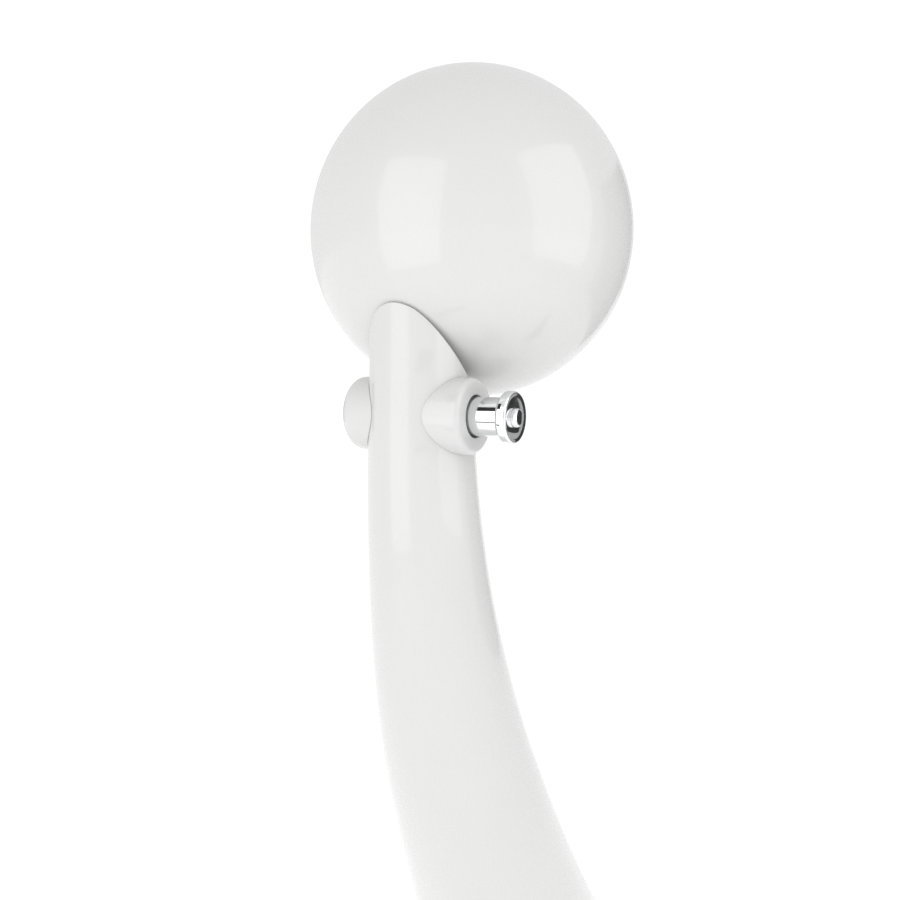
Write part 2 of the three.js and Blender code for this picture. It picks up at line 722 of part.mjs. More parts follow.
const weightTop = coverUnder - fit;
const weightUnder = weightTop - weightThickness;
const plateTop = floorPadHeight + fit + bottomPlateThickness;
const weightShoulder = 6; // the casting's upper corner is bevelled to clear the cover's rounded edge
const weightBlank = turned([
  [wiringHoleRadius, weightUnder],
  [weightRadius - weightRim, weightUnder],
  [weightRadius - weightRim, plateTop + fit],
  [weightRadius, plateTop + fit],
  [weightRadius, weightTop - weightShoulder],
  [weightRadius - weightShoulder, weightTop],
  [wiringHoleRadius, weightTop],
], bigRoundSegments, standing);
const plateScrewSpots = [];
for (let i = 0; i < 4; i += 1) {
  const turn = Math.PI / 4 + (i * Math.PI) / 2;
  plateScrewSpots.push([plateScrewCircle * Math.cos(turn), plateScrewCircle * Math.sin(turn)]);
}
const plateScrewEnd = 16;
const plateScrewHoles = plateScrewSpots.map(([x, y]) =>
  rod(plateScrewRadius + fit, 0, plateScrewEnd + fit, smallSegments, uprightAt(x, y)));
const switchClearance = rod(switchFlangeRadius + 2 * fit, 0, baseTop, turnedSegments, switchPlace);
const glandSlot = block(
  new THREE.Vector3(-weightRadius - 5, -glandRadius - 3, 0),
  new THREE.Vector3(-weightRadius + weightRim + 5, glandRadius + 3, glandHeight + glandRadius + 2),
);
const weightCutters = [...boltHoles, ...plateScrewHoles, switchClearance, glandSlot];
addPiece('base_weight', cutAway(weightBlank, weightCutters), finishes.castIron);

const plateBlankRound = rod(weightRadius - 1, floorPadHeight + fit, plateTop, bigRoundSegments, standing);
const terminalScrewHole = rod(1.5 + fit, 0, 30, smallSegments, standing);
const bottomPlate = cutAway(plateBlankRound, [...plateScrewHoles, terminalScrewHole]);
addPiece('bottom_plate', bottomPlate, finishes.steel);

plateScrewSpots.forEach(([x, y], index) => {
  const head = floorPadHeight;
  const screw = turned([[0, head - 2], [3.4, head - 2], [4.4, head - 1], [4.4, head], [plateScrewRadius, head],
    [plateScrewRadius, plateScrewEnd], [0, plateScrewEnd]], smallSegments, uprightAt(x, y));
  addPiece(`plate_screw_${index + 1}`, screw, finishes.steel);
});

const floorPad = rod(floorPadRadius, 0, floorPadHeight, bigRoundSegments, standing);
addPiece('floor_pad', floorPad, finishes.rubber);

const flangeSlab = block(
  new THREE.Vector3(-2 * baseRadius, -baseRadius, baseTop + fit),
  new THREE.Vector3(2 * baseRadius, baseRadius, flangeTop),
);
const flangeBlank = horn(-armWall - fit, 0, armLength + footOverrun).intersect(flangeSlab);
const flangeHole = rod(wiringHoleRadius, 0, 2 * flangeTop, turnedSegments, standing);
addPiece('arm_foot_flange', cutAway(flangeBlank, [flangeHole, ...boltHoles]), finishes.steel);

boltSpots.forEach(([x, y], index) => {
  const headTop = weightUnder - fit;
  const place = uprightAt(x, y);
  const head = rod(6.5, headTop - 6.5, headTop, 6, place);
  const shank = rod(footBoltRadius, headTop - 1, flangeTop, smallSegments, place);
  addPiece(`foot_bolt_${index + 1}`, head.add(shank), finishes.steel);
});

// ---------------------------------------------------------------- foot switch, inlet and wiring

const switchFlangeTop = coverUnder - fit;
const switchBody = turned([
  [0, plateTop + 2],
  [switchRadius, plateTop + 2],
  [switchRadius, switchFlangeTop - 3.2],
  [switchFlangeRadius, switchFlangeTop - 3.2],
  [switchFlangeRadius, switchFlangeTop],
  [switchRadius, switchFlangeTop],
  [switchRadius, baseTop + 3],
  [buttonRadius + fit, baseTop + 3],
  [buttonRadius + fit, baseTop - 8],
  [0, baseTop - 8],
], turnedSegments, switchPlace);
addPiece('switch_body', switchBody, finishes.bakelite);

const switchRing = turned([
  [switchRadius + fit, baseTop + fit],
  [19, baseTop + fit],
  [19, baseTop + 2],
  [17.8, baseTop + 3.2],
  [switchRadius + fit, baseTop + 3.2],
], turnedSegments, switchPlace);
addPiece('switch_ring', switchRing, finishes.chrome);

const buttonDome = arcPoints([buttonRadius - 2, buttonTop - 2.4], 2, 0, Math.PI / 2, 3);
const switchButton = turned([[0, baseTop - 0.7], [buttonRadius, baseTop - 0.7], ...buttonDome,
  [0, buttonTop]], turnedSegments, switchPlace);
addPiece('switch_button', switchButton, finishes.chrome);

const glandInner = baseRadius - 13;
const glandHead = tube(glandBoreRadius, glandRadius, baseRadius + fit, baseRadius + 9, 6, glandPlace);
const glandShank = tube(glandBoreRadius, glandShankRadius, glandInner, baseRadius + 5, smallSegments,
  glandPlace);
const glandBore = rod(glandBoreRadius, glandInner - 1, baseRadius + 20, smallSegments, glandPlace);
addPiece('cable_gland', glandHead.add(glandShank).subtract(glandBore), finishes.bakelite);

const nutOuter = baseRadius - coverWall - 4 * fit;
const glandNut = rod(glandRadius + 0.5, nutOuter - 4, nutOuter, 6, glandPlace);
addPiece('gland_nut', glandNut.subtract(glandHole), finishes.bakelite);

const terminalTop = plateTop + fit + 15;
const terminalBox = block(
  new THREE.Vector3(-11, -24, plateTop + fit),
  new THREE.Vector3(11, 24, terminalTop),
);
addPiece('terminal_block', terminalBox.subtract(terminalScrewHole), finishes.ceramic);

const terminalScrew = turned([[0, floorPadHeight + fit + 0.2], [1.5, floorPadHeight + fit + 0.2],
  [1.5, terminalTop + fit], [3, terminalTop + fit], [3, terminalTop + 2], [0, terminalTop + 2.4]],
smallSegments, standing);
addPiece('terminal_screw', terminalScrew, finishes.steel);

function armLeadPath() {
  const points = [
    new THREE.Vector3(0, 14, terminalTop + fit + leadRadius),
    new THREE.Vector3(-12, 12, flangeTop - 6),
    new THREE.Vector3(-60, 6, flangeTop + 30),
  ];
  for (let share = 0.82; share > 0.05; share -= 0.12) {
    // the lead lies on the arm's rear wall
    const s = armLength * share;
    const station = armStation(s);
    const toWall = armHalfWidth(s) * ovalDepth - armWall - 3.6 * leadRadius;
    const x = pivot.x + station.x - toWall * Math.cos(station.angle);
    const z = pivot.z + station.z - toWall * Math.sin(station.angle);
    points.push(new THREE.Vector3(x, 0, z));
  }
  points.push(fromPivot(leadOffset, 0, -hubRadius - 13));
  return points;
}

addPiece('arm_lead', wire(armLeadPath(), leadRadius, 28), finishes.lead);

const holderUnder = ballCentre.z - holderRadius - fit;
const holderEntry = ballCentre.x + holderRear + 22;
const headLeadPath = [
  fromPivot(leadOffset, 0, -hubRadius - 11),
  fromPivot(leadOffset, 0, -hubRadius / 2),
  fromPivot(leadOffset, 0, backingPlateDepth / 2),
  fromPivot(leadOffset, 0, bracketFront + 2),
  fromPivot(leadOffset, 0, bracketFront + 12),
  new THREE.Vector3(holderEntry + 3, 0, holderUnder - 35),
  new THREE.Vector3(holderEntry, 0, holderUnder - 12),
  new THREE.Vector3(holderEntry, 0, holderUnder - 0.5),
];
addPiece('head_lead', wire(headLeadPath, leadRadius, 18), finishes.lead);

const switchLeadHeight = plateTop + 4;
const switchLead = wire([
  new THREE.Vector3(14, -18, switchLeadHeight),
  new THREE.Vector3(35, -50, switchLeadHeight),
  new THREE.Vector3(70, -115, switchLeadHeight),
  new THREE.Vector3(switchForward - 3, -switchRight + switchRadius + 1, switchLeadHeight),
], 1.8, 10);
addPiece('switch_lead', switchLead, finishes.lead);

// ---------------------------------------------------------------- the assembly

const lamp = new THREE.Group();
lamp.name = 'arc_floor_lamp';
for (const { name, solid, finish } of pieces) {
  const mesh = new THREE.Mesh(geometryOf(solid), new THREE.MeshStandardMaterial(finish));
  mesh.name = name;
  lamp.add(mesh);
}

export default lamp;
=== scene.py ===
"""Arc floor lamp: the smooth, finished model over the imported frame.

Everything is in metres in the frame's own axes: +Z up, the head at the rear (-X) of the
round base and shining forward (+X), and the tilt axis across the lamp along Y with the
clamp knob on the right (-Y).
"""

import json
import logging
from dataclasses import dataclass, field
from enum import Enum
from typing import Sequence

import bmesh
import bpy
import numpy as np
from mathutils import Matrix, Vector
from numpy.typing import NDArray


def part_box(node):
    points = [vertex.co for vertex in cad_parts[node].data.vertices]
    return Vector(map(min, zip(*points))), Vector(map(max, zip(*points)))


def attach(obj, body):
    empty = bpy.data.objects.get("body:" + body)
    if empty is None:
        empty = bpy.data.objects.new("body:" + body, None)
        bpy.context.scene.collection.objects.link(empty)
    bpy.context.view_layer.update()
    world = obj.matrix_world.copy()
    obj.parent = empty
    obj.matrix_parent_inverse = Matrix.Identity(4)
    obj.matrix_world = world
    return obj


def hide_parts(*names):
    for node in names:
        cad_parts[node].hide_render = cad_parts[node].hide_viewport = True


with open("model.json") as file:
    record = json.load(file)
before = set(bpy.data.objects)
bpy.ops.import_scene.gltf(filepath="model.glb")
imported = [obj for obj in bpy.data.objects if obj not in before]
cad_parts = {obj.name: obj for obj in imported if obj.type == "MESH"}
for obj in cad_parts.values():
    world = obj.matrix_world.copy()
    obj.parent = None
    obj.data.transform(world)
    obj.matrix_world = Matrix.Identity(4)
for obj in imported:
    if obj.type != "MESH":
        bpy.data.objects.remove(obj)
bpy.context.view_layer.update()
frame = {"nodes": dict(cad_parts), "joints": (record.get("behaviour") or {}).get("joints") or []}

Points = NDArray[np.float64]
Triple = tuple[float, float, float]
Profile = tuple[Triple, ...]
LOG = logging.getLogger("arc_floor_lamp")

MM = 0.001
MERGE = 1e-7
FIT = 0.3 * MM
SHARP_EDGE = np.radians(32)


class Body(Enum):
    """The moving bodies that a piece can ride on."""

    STAND = "stand"
    HEAD = "head"
    CARRIAGE = "clamp_carriage"
    KNOB = "knob"
    BUTTON = "switch_button"


class Slot(Enum):
    """The record's material slots."""

    PLASTIC = "white_plastic"
    ENAMEL = "white_enamel"
    CHROME = "chrome_plate"
    STEEL = "zinc_steel"
    IRON = "black_iron"
    ALUMINIUM = "satin_aluminium"
    FIBRE = "brown_fibre"
    RUBBER = "black_rubber"
    BAKELITE = "black_bakelite"
    CERAMIC = "white_ceramic"
    GLASS = "opal_glass"
    CABLE = "white_cable"


# ------------------------------------------------------------------ turned work and grids


@dataclass(frozen=True)
class Axis:
    """A line that turned work spins about.

    Attributes:
        origin: the point that stations are counted from.
        direction: unit vector along which stations grow.
        side: unit vector square to the direction, where the turn is zero.
    """

    origin: Triple
    direction: Triple
    side: Triple

    def point(self, radius: Points, station: Points, turn: Points) -> Points:
        """Places radius, station and turn in space.

        Point = origin + station * direction + radius * (cos turn * side + sin turn * across),
        where across = direction x side.

        Args:
            radius: distance from the axis.
            station: distance along the axis.
            turn: angle round the axis in radians.

        Returns:
            Array of the broadcast shape with a last axis of three.
        """
        along, side = np.array(self.direction), np.array(self.side)
        across = np.cross(along, side)
        radius, station, turn = np.broadcast_arrays(radius, station, turn)
        out = np.cos(turn)[..., None] * side + np.sin(turn)[..., None] * across
        return np.array(self.origin) + station[..., None] * along + radius[..., None] * out

    def shifted(self, offset: Sequence[float]) -> "Axis":
        """The same axis moved sideways by an offset in space."""
        return Axis(tuple(np.add(self.origin, offset)), self.direction, self.side)


def bend(start: Points, corner: Points, end: Points, steps: int = 6) -> Points:
    """Rounds corners: (1-t)^2 start + 2t(1-t) corner + t^2 end, t from 0 to 1.

    Args:
        start: where the rounding leaves the first side, any leading shape.
        corner: the sharp corner.
        end: where the rounding joins the second side.
        steps: samples along the rounding.

    Returns:
        Array with one new axis of length steps before the last axis.
    """
    t = np.linspace(0.0, 1.0, steps)[:, None]
    start, corner, end = (np.asarray(a)[..., None, :] for a in (start, corner, end))
    return (1 - t) ** 2 * start + 2 * t * (1 - t) * corner + t**2 * end


def outline(corners: Sequence[Sequence[float]], closed: bool = True) -> Points:
    """A profile of (radius, station, edge) corners in millimetres with eased edges.

    Each corner is replaced by a curve that starts edge before it and ends edge after it,
    never taking more than 0.45 of a side.

    Args:
        corners: radius, station and edge easing of each corner.
        closed: True for a ring section, False where both ends lie on the axis.

    Returns:
        N x 2 array of radius and station in metres.
    """
    table = np.array(corners, float) * MM
    spot, ease = table[:, :2], table[:, 2:]
    before, after = np.roll(spot, 1, axis=0) - spot, np.roll(spot, -1, axis=0) - spot
    reach_before = np.linalg.norm(before, axis=1, keepdims=True)
    reach_after = np.linalg.norm(after, axis=1, keepdims=True)
    start = spot + before / reach_before * np.minimum(ease, 0.45 * reach_before)
    end = spot + after / reach_after * np.minimum(ease, 0.45 * reach_after)
    eased = bend(start, spot, end)
    if not closed:
        eased[0], eased[-1] = spot[0], spot[-1]
    return eased.reshape(-1, 2)


def turns(count: int) -> Points:
    """Angles that divide a full turn evenly, without the last one."""
    return np.linspace(0.0, 2 * np.pi, count, endpoint=False)


def skin_mesh(name: str, grid: Points, closed: bool) -> bpy.types.Object:
    """Makes an object from a grid of points, with its faces outward.

    The grid's second axis always runs round and joins up. Its first axis joins up too where
    the section is closed; otherwise its two ends are poles, whose equal points are merged.
    Outward is where the signed volume, the sum of a . (b x c) / 6 over triangles, is positive.

    Args:
        name: the object's name.
        grid: rows x columns x 3 array of points.
        closed: whether the last row joins the first.

    Returns:
        The new object, smooth, with its real edges kept sharp.
    """
    rows, columns = grid.shape[:2]
    row = np.arange(rows if closed else rows - 1)[:, None]
    column = np.arange(columns)[None, :]
    below, beside = (row + 1) % rows, (column + 1) % columns
    quads = np.stack([row * columns + column, below * columns + column,
                      below * columns + beside, row * columns + beside], axis=-1).reshape(-1, 4)
    flat = grid.reshape(-1, 3)
    a, b, c, d = (flat[quads[:, i]] - flat.mean(axis=0) for i in range(4))
    volume = np.einsum("ij,ij->i", a, np.cross(b, c) + np.cross(c, d)).sum()
    if volume < 0:
        quads = quads[:, ::-1]
    mesh = bpy.data.meshes.new(name)
    mesh.from_pydata(flat, [], quads)
    shape = bmesh.new()
    shape.from_mesh(mesh)
    bmesh.ops.remove_doubles(shape, verts=shape.verts, dist=MERGE)
    shape.to_mesh(mesh)
    shape.free()
    piece = bpy.data.objects.new(name, mesh)
    bpy.context.scene.collection.objects.link(piece)
    soften(piece)
    return piece


def soften(piece: bpy.types.Object) -> None:
    """Shades a piece smooth and marks the edges that turn more than SHARP_EDGE as sharp."""
    smooth = np.ones(len(piece.data.polygons), bool)
    piece.data.polygons.foreach_set("use_smooth", smooth)
    piece.data.set_sharp_from_angle(angle=float(SHARP_EDGE))
    piece.data.update()


def turned(name: str, profile: Points, axis: Axis, count: int, closed: bool = True) -> bpy.types.Object:
    """A piece turned from a profile: every profile point swept round the axis.

    Args:
        name: the object's name.
        profile: N x 2 array of radius and station.
        axis: the axis of the turning.
        count: steps round.
        closed: False where the profile's ends lie on the axis.

    Returns:
        The new object.
    """
    grid = axis.point(profile[:, :1], profile[:, 1:], turns(count)[None, :])
    return skin_mesh(name, grid, closed)


def drill(radius: float, start: float, end: float, axis: Axis, count: int = 48) -> bpy.types.Object:
    """A cylinder used as a cutter, in metres, from one station to another."""
    profile = np.array([[0, start], [radius, start], [radius, end], [0, end]])
    return turned("cutter", profile, axis, count, closed=False)


def machine(piece: bpy.types.Object, cuts: Sequence[bpy.types.Object],
            joins: Sequence[bpy.types.Object] = ()) -> None:
    """Joins solids to a piece, then cuts others out of it, and removes both from the scene.

    Args:
        piece: the object that keeps the result.
        cuts: cutters.
        joins: solids that become part of the piece.
    """
    jobs = [("UNION", solid) for solid in joins] + [("DIFFERENCE", solid) for solid in cuts]
    for operation, solid in jobs:
        job = piece.modifiers.new("machine", "BOOLEAN")
        job.operation = operation
        job.solver = "EXACT"
        job.object = solid
    bpy.context.view_layer.update()
    done = piece.evaluated_get(bpy.context.evaluated_depsgraph_get())
    mesh = bpy.data.meshes.new_from_object(done)
    piece.modifiers.clear()
    mesh.name = piece.name
    piece.data = mesh
    for _, solid in jobs:
        bpy.data.objects.remove(solid)
    soften(piece)


# ------------------------------------------------------------------ finishes


class Recipe:
    """A material's node tree while it is being built round one Principled shader."""

    def __init__(self, name: str) -> None:
        """Starts an empty material with its shader and the object coordinates."""
        self.material = bpy.data.materials.new(name)
        self.material.use_nodes = True
        self.tree = self.material.node_tree
        self.shader = self.tree.nodes["Principled BSDF"]
        self.coordinates = self.tree.nodes.new("ShaderNodeTexCoord").outputs["Object"]

    def feed(self, socket: bpy.types.NodeSocket, value: object) -> None:
        """Links an output socket to an input, or sets a plain value on it."""
        if isinstance(value, bpy.types.NodeSocket):
            self.tree.links.new(value, socket)
        else:
            socket.default_value = value

    def node(self, kind: str, inputs: dict[str, object], **settings: object) -> bpy.types.Node:
        """Adds a node, sets its options and feeds its named inputs."""
        made = self.tree.nodes.new(kind)
        for key, value in settings.items():
            setattr(made, key, value)
        for key, value in inputs.items():
            self.feed(made.inputs[key], value)
        return made

    def surface(self, **sockets: object) -> None:
        """Sets or links the shader's sockets, with underscores for the spaces in their names."""
        for key, value in sockets.items():
            self.feed(self.shader.inputs[key.replace("_", " ")], value)

    def spot(self, centre: Triple = (0.0, 0.0, 0.0),
             stretch: Triple = (1.0, 1.0, 1.0)) -> bpy.types.NodeSocket:
        """Object coordinates counted from a centre and stretched per axis."""
        move = tuple(-c * s for c, s in zip(centre, stretch))
        inputs = {"Vector": self.coordinates, "Location": move, "Scale": stretch}
        made = self.node("ShaderNodeMapping", inputs)
        return made.outputs["Vector"]

    def noise(self, where: bpy.types.NodeSocket, scale: float, detail: float = 3.0) -> bpy.types.NodeSocket:
        """Cloudy noise from 0 to 1, with scale in cells per metre."""
        made = self.node("ShaderNodeTexNoise", {"Vector": where, "Scale": scale, "Detail": detail})
        return made.outputs["Fac"]

    def rings(self, where: bpy.types.NodeSocket, per_metre: float) -> bpy.types.NodeSocket:
        """Fine turning marks: a sine of the distance from the coordinates' origin."""
        reach = self.node("ShaderNodeVectorMath", {0: where}, operation="LENGTH").outputs["Value"]
        angle = self.node("ShaderNodeMath", {0: reach, 1: 2 * np.pi * per_metre}, operation="MULTIPLY")
        return self.node("ShaderNodeMath", {0: angle.outputs[0]}, operation="SINE").outputs[0]

    def span(self, value: bpy.types.NodeSocket, low: float, high: float,
             start: float = 0.3, end: float = 0.7) -> bpy.types.NodeSocket:
        """Maps a value from start..end to low..high, held at both ends."""
        made = self.node("ShaderNodeMapRange", {"Value": value, "From Min": start, "From Max": end,
                                                "To Min": low, "To Max": high})
        return made.outputs["Result"]

    def tint(self, value: bpy.types.NodeSocket, first: Triple, second: Triple) -> bpy.types.NodeSocket:
        """A colour between two colours, by a value from 0 to 1."""
        made = self.tree.nodes.new("ShaderNodeMix")
        made.data_type = "RGBA"
        self.feed(made.inputs[0], value)
        self.feed(made.inputs[6], (*first, 1.0))
        self.feed(made.inputs[7], (*second, 1.0))
        return made.outputs[2]

    def relief(self, height: bpy.types.NodeSocket, depth: float,
               strength: float = 1.0) -> bpy.types.NodeSocket:
        """A normal bumped by a height from 0 to 1 over a depth in metres."""
        made = self.node("ShaderNodeBump", {"Height": height, "Distance": depth, "Strength": strength})
        return made.outputs["Normal"]


class Finish:
    """A finish that can be laid on pieces; the material is built once, on first use."""

    name: str
    slot: Slot

    def build(self, recipe: Recipe) -> None:
        """Fills the recipe's node tree."""
        raise NotImplementedError

    def material(self) -> bpy.types.Material:
        """The finish's material, made when it is first asked for."""
        found = bpy.data.materials.get(self.name)
        if found is None:
            recipe = Recipe(self.name)
            self.build(recipe)
            found = recipe.material
        return found


@dataclass(frozen=True)
class GlossLacquer(Finish):
    """Sprayed white lacquer: pale base under clear coat, faint orange peel and fine dust."""

    name: str = "gloss_white_lacquer"
    slot: Slot = Slot.PLASTIC
    pale: Triple = (0.586, 0.586, 0.583)
    shade: Triple = (0.570, 0.570, 0.566)
    peel_per_metre: float = 140.0
    peel_depth: float = 0.012 * MM
    speck_per_metre: float = 1400.0

    def build(self, recipe: Recipe) -> None:
        """Cloudy colour and roughness, orange peel as relief, dust specks in the gloss."""
        where = recipe.spot()
        cloud = recipe.noise(where, 9.0, 4.0)
        speck = recipe.noise(where, self.speck_per_metre, 2.0)
        peel = recipe.noise(where, self.peel_per_metre, 1.5)
        recipe.surface(
            Base_Color=recipe.tint(cloud, self.shade, self.pale),
            Roughness=recipe.span(speck, 0.26, 0.42, 0.55, 0.8),
            Coat_Weight=0.5,
            Coat_Roughness=0.035,
            Coat_IOR=1.5,
            IOR=1.4,
            Normal=recipe.relief(peel, self.peel_depth, 0.5),
        )


@dataclass(frozen=True)
class PolishedChrome(Finish):
    """Bright chrome plate over turned brass, with faint turning marks and wiping haze."""

    name: str = "polished_chrome"
    slot: Slot = Slot.CHROME
    centre: Triple = (0.0, 0.0, 0.0)
    stretch: Triple = (1.0, 0.0, 1.0)
    plate: Triple = (0.80, 0.81, 0.82)

    def build(self, recipe: Recipe) -> None:
        """Turning marks as relief round the piece's axis, haze in the roughness."""
        haze = recipe.noise(recipe.spot(), 70.0, 4.0)
        marks = recipe.rings(recipe.spot(self.centre, self.stretch), 2600.0)
        fade = recipe.noise(recipe.spot(), 45.0, 2.0)
        depth = recipe.node("ShaderNodeMath", {0: marks, 1: fade}, operation="MULTIPLY").outputs[0]
        recipe.surface(
            Base_Color=recipe.tint(haze, self.plate, (0.86, 0.865, 0.87)),
            Metallic=1.0,
            Roughness=recipe.span(haze, 0.035, 0.10),
            Normal=recipe.relief(depth, 0.0006 * MM, 0.35),
        )


@dataclass(frozen=True)
class ZincSteel(Finish):
    """Bright zinc plated steel with blotchy passivation and a fine grain."""

    name: str = "zinc_plated_steel"
    slot: Slot = Slot.STEEL

    def build(self, recipe: Recipe) -> None:
        """Blotches between blue grey and straw, grain as relief."""
        blotch = recipe.noise(recipe.spot(), 60.0, 5.0)
        grain = recipe.noise(recipe.spot(), 1800.0, 2.0)
        recipe.surface(
            Base_Color=recipe.tint(blotch, (0.42, 0.45, 0.50), (0.60, 0.57, 0.48)),
            Metallic=1.0,
            Roughness=recipe.span(blotch, 0.28, 0.48),
            Normal=recipe.relief(grain, 0.02 * MM, 0.5),
        )


@dataclass(frozen=True)
class SatinAluminium(Finish):
    """Spun aluminium with concentric tool marks round its axis."""

    name: str = "satin_aluminium"
    slot: Slot = Slot.ALUMINIUM
    centre: Triple = (0.0, 0.0, 0.0)
    stretch: Triple = (0.0, 1.0, 1.0)

    def build(self, recipe: Recipe) -> None:
        """Coarse and fine rings as relief, and smudges in the roughness."""
        where = recipe.spot(self.centre, self.stretch)
        fine = recipe.rings(where, 1900.0)
        coarse = recipe.rings(where, 410.0)
        both = recipe.node("ShaderNodeMath", {0: coarse, 1: 0.5, 2: fine},
                           operation="MULTIPLY_ADD").outputs[0]
        smudge = recipe.noise(recipe.spot(), 30.0, 4.0)
        recipe.surface(
            Base_Color=recipe.tint(smudge, (0.70, 0.705, 0.71), (0.80, 0.80, 0.79)),
            Metallic=1.0,
            Roughness=recipe.span(smudge, 0.24, 0.40),
            Normal=recipe.relief(both, 0.004 * MM, 0.6),
        )


@dataclass(frozen=True)
class CastIron(Finish):
    """Black painted iron casting with the pits and swells of its sand mould."""

    name: str = "cast_iron"
    slot: Slot = Slot.IRON

    def build(self, recipe: Recipe) -> None:
        """Sand texture at two scales, colour darker in the pits."""
        swell = recipe.noise(recipe.spot(), 90.0, 3.0)
        sand = recipe.noise(recipe.spot(), 700.0, 4.0)
        both = recipe.node("ShaderNodeMath", {0: swell, 1: sand}, operation="ADD").outputs[0]
        recipe.surface(
            Base_Color=recipe.tint(sand, (0.018, 0.018, 0.019), (0.060, 0.058, 0.056)),
            Roughness=recipe.span(swell, 0.55, 0.85),
            Normal=recipe.relief(both, 0.35 * MM, 0.8),
        )


@dataclass(frozen=True)
class BrownFibre(Finish):
    """Vulcanised fibre: red brown with pressed strands."""

    name: str = "brown_fibre_washer"
    slot: Slot = Slot.FIBRE

    def build(self, recipe: Recipe) -> None:
        """Strands from noise stretched along X."""
        strand = recipe.noise(recipe.spot(stretch=(0.15, 1.0, 1.0)), 1500.0, 3.0)
        recipe.surface(
            Base_Color=recipe.tint(strand, (0.10, 0.028, 0.012), (0.24, 0.085, 0.038)),
            Roughness=recipe.span(strand, 0.7, 0.92),
            Normal=recipe.relief(strand, 0.08 * MM, 0.6),
        )


@dataclass(frozen=True)
class BlackRubber(Finish):
    """Moulded black rubber with a fine pebble."""

    name: str = "pebbled_black_rubber"
    slot: Slot = Slot.RUBBER
    pebble_per_metre: float = 650.0

    def build(self, recipe: Recipe) -> None:
        """Pebbles are cells of a Voronoi pattern, with dusty clouds in the colour."""
        cells = recipe.node("ShaderNodeTexVoronoi",
                            {"Vector": recipe.spot(), "Scale": self.pebble_per_metre})
        dust = recipe.noise(recipe.spot(), 40.0, 5.0)
        recipe.surface(
            Base_Color=recipe.tint(dust, (0.010, 0.010, 0.011), (0.034, 0.033, 0.032)),
            Roughness=recipe.span(dust, 0.72, 0.92),
            Normal=recipe.relief(cells.outputs["Distance"], 0.15 * MM, 0.5),
        )


@dataclass(frozen=True)
class Bakelite(Finish):
    """Pressed black bakelite with brown flow marks under a dulled gloss."""

    name: str = "black_bakelite"
    slot: Slot = Slot.BAKELITE

    def build(self, recipe: Recipe) -> None:
        """Flow marks in the colour and handling haze in the roughness."""
        flow = recipe.noise(recipe.spot(stretch=(1.0, 1.0, 0.3)), 120.0, 6.0)
        haze = recipe.noise(recipe.spot(), 260.0, 3.0)
        recipe.surface(
            Base_Color=recipe.tint(flow, (0.008, 0.007, 0.006), (0.030, 0.020, 0.015)),
            Roughness=recipe.span(haze, 0.20, 0.38),
            Normal=recipe.relief(haze, 0.02 * MM, 0.4),
        )


@dataclass(frozen=True)
class GlazedCeramic(Finish):
    """White glazed steatite with small iron specks."""

    name: str = "glazed_ceramic"
    slot: Slot = Slot.CERAMIC

    def build(self, recipe: Recipe) -> None:
        """Specks where fine noise is high, glaze waves as relief."""
        speck = recipe.span(recipe.noise(recipe.spot(), 900.0, 2.0), 0.0, 1.0, 0.70, 0.78)
        wave = recipe.noise(recipe.spot(), 120.0, 2.0)
        recipe.surface(
            Base_Color=recipe.tint(speck, (0.78, 0.77, 0.72), (0.42, 0.34, 0.26)),
            Roughness=recipe.span(wave, 0.15, 0.30),
            Normal=recipe.relief(wave, 0.05 * MM, 0.5),
        )


@dataclass(frozen=True)
class OpalGlass(Finish):
    """Opal bulb glass: milky, slightly uneven, lit through from behind."""

    name: str = "opal_bulb_glass"
    slot: Slot = Slot.GLASS

    def build(self, recipe: Recipe) -> None:
        """Milk clouds in the colour, blown unevenness as relief."""
        milk = recipe.noise(recipe.spot(), 50.0, 3.0)
        recipe.surface(
            Base_Color=recipe.tint(milk, (0.84, 0.84, 0.82), (0.90, 0.90, 0.885)),
            Roughness=recipe.span(milk, 0.12, 0.22),
            Subsurface_Weight=0.35,
            Subsurface_Scale=0.004,
            Subsurface_Radius=(1.0, 0.9, 0.8),
            Coat_Weight=0.6,
            Coat_Roughness=0.05,
            Normal=recipe.relief(milk, 0.05 * MM, 0.3),
        )


@dataclass(frozen=True)
class CableSheath(Finish):
    """White flexible lead sheath with a slightly matt, dragged surface."""

    name: str = "white_cable_sheath"
    slot: Slot = Slot.CABLE

    def build(self, recipe: Recipe) -> None:
        """Drag marks from stretched noise."""
        drag = recipe.noise(recipe.spot(stretch=(1.0, 1.0, 0.1)), 900.0, 3.0)
        recipe.surface(
            Base_Color=recipe.tint(drag, (0.60, 0.59, 0.56), (0.72, 0.71, 0.69)),
            Roughness=recipe.span(drag, 0.45, 0.62),
            Normal=recipe.relief(drag, 0.03 * MM, 0.4),
        )


# ------------------------------------------------------------------ dressing


def dress(piece: bpy.types.Object, finish: Finish, body: Body, *nodes: str) -> None:
    """Gives a new piece its finish, its body and the solids it stands for.

    Args:
        piece: the new object.
        finish: its finish.
        body: the body it rides on.
        nodes: the solids it replaces.
    """
    piece.data.materials.clear()
    piece.data.materials.append(finish.material())
    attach(piece, body.value)
    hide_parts(*nodes)
    faces = len(piece.data.polygons)
    LOG.info("%s: %d faces, on %s, for %s", piece.name, faces, body.value, ", ".join(nodes))


def paint(finish: Finish, *nodes: str) -> None:
    """Lays a finish on solids that are carried over as they are."""
    for node in nodes:
        slots = frame["nodes"][node].data.materials
        slots.clear()
        slots.append(finish.material())
        LOG.info("%s: carried over in %s", node, finish.name)


# ------------------------------------------------------------------ shared geometry of the lamp


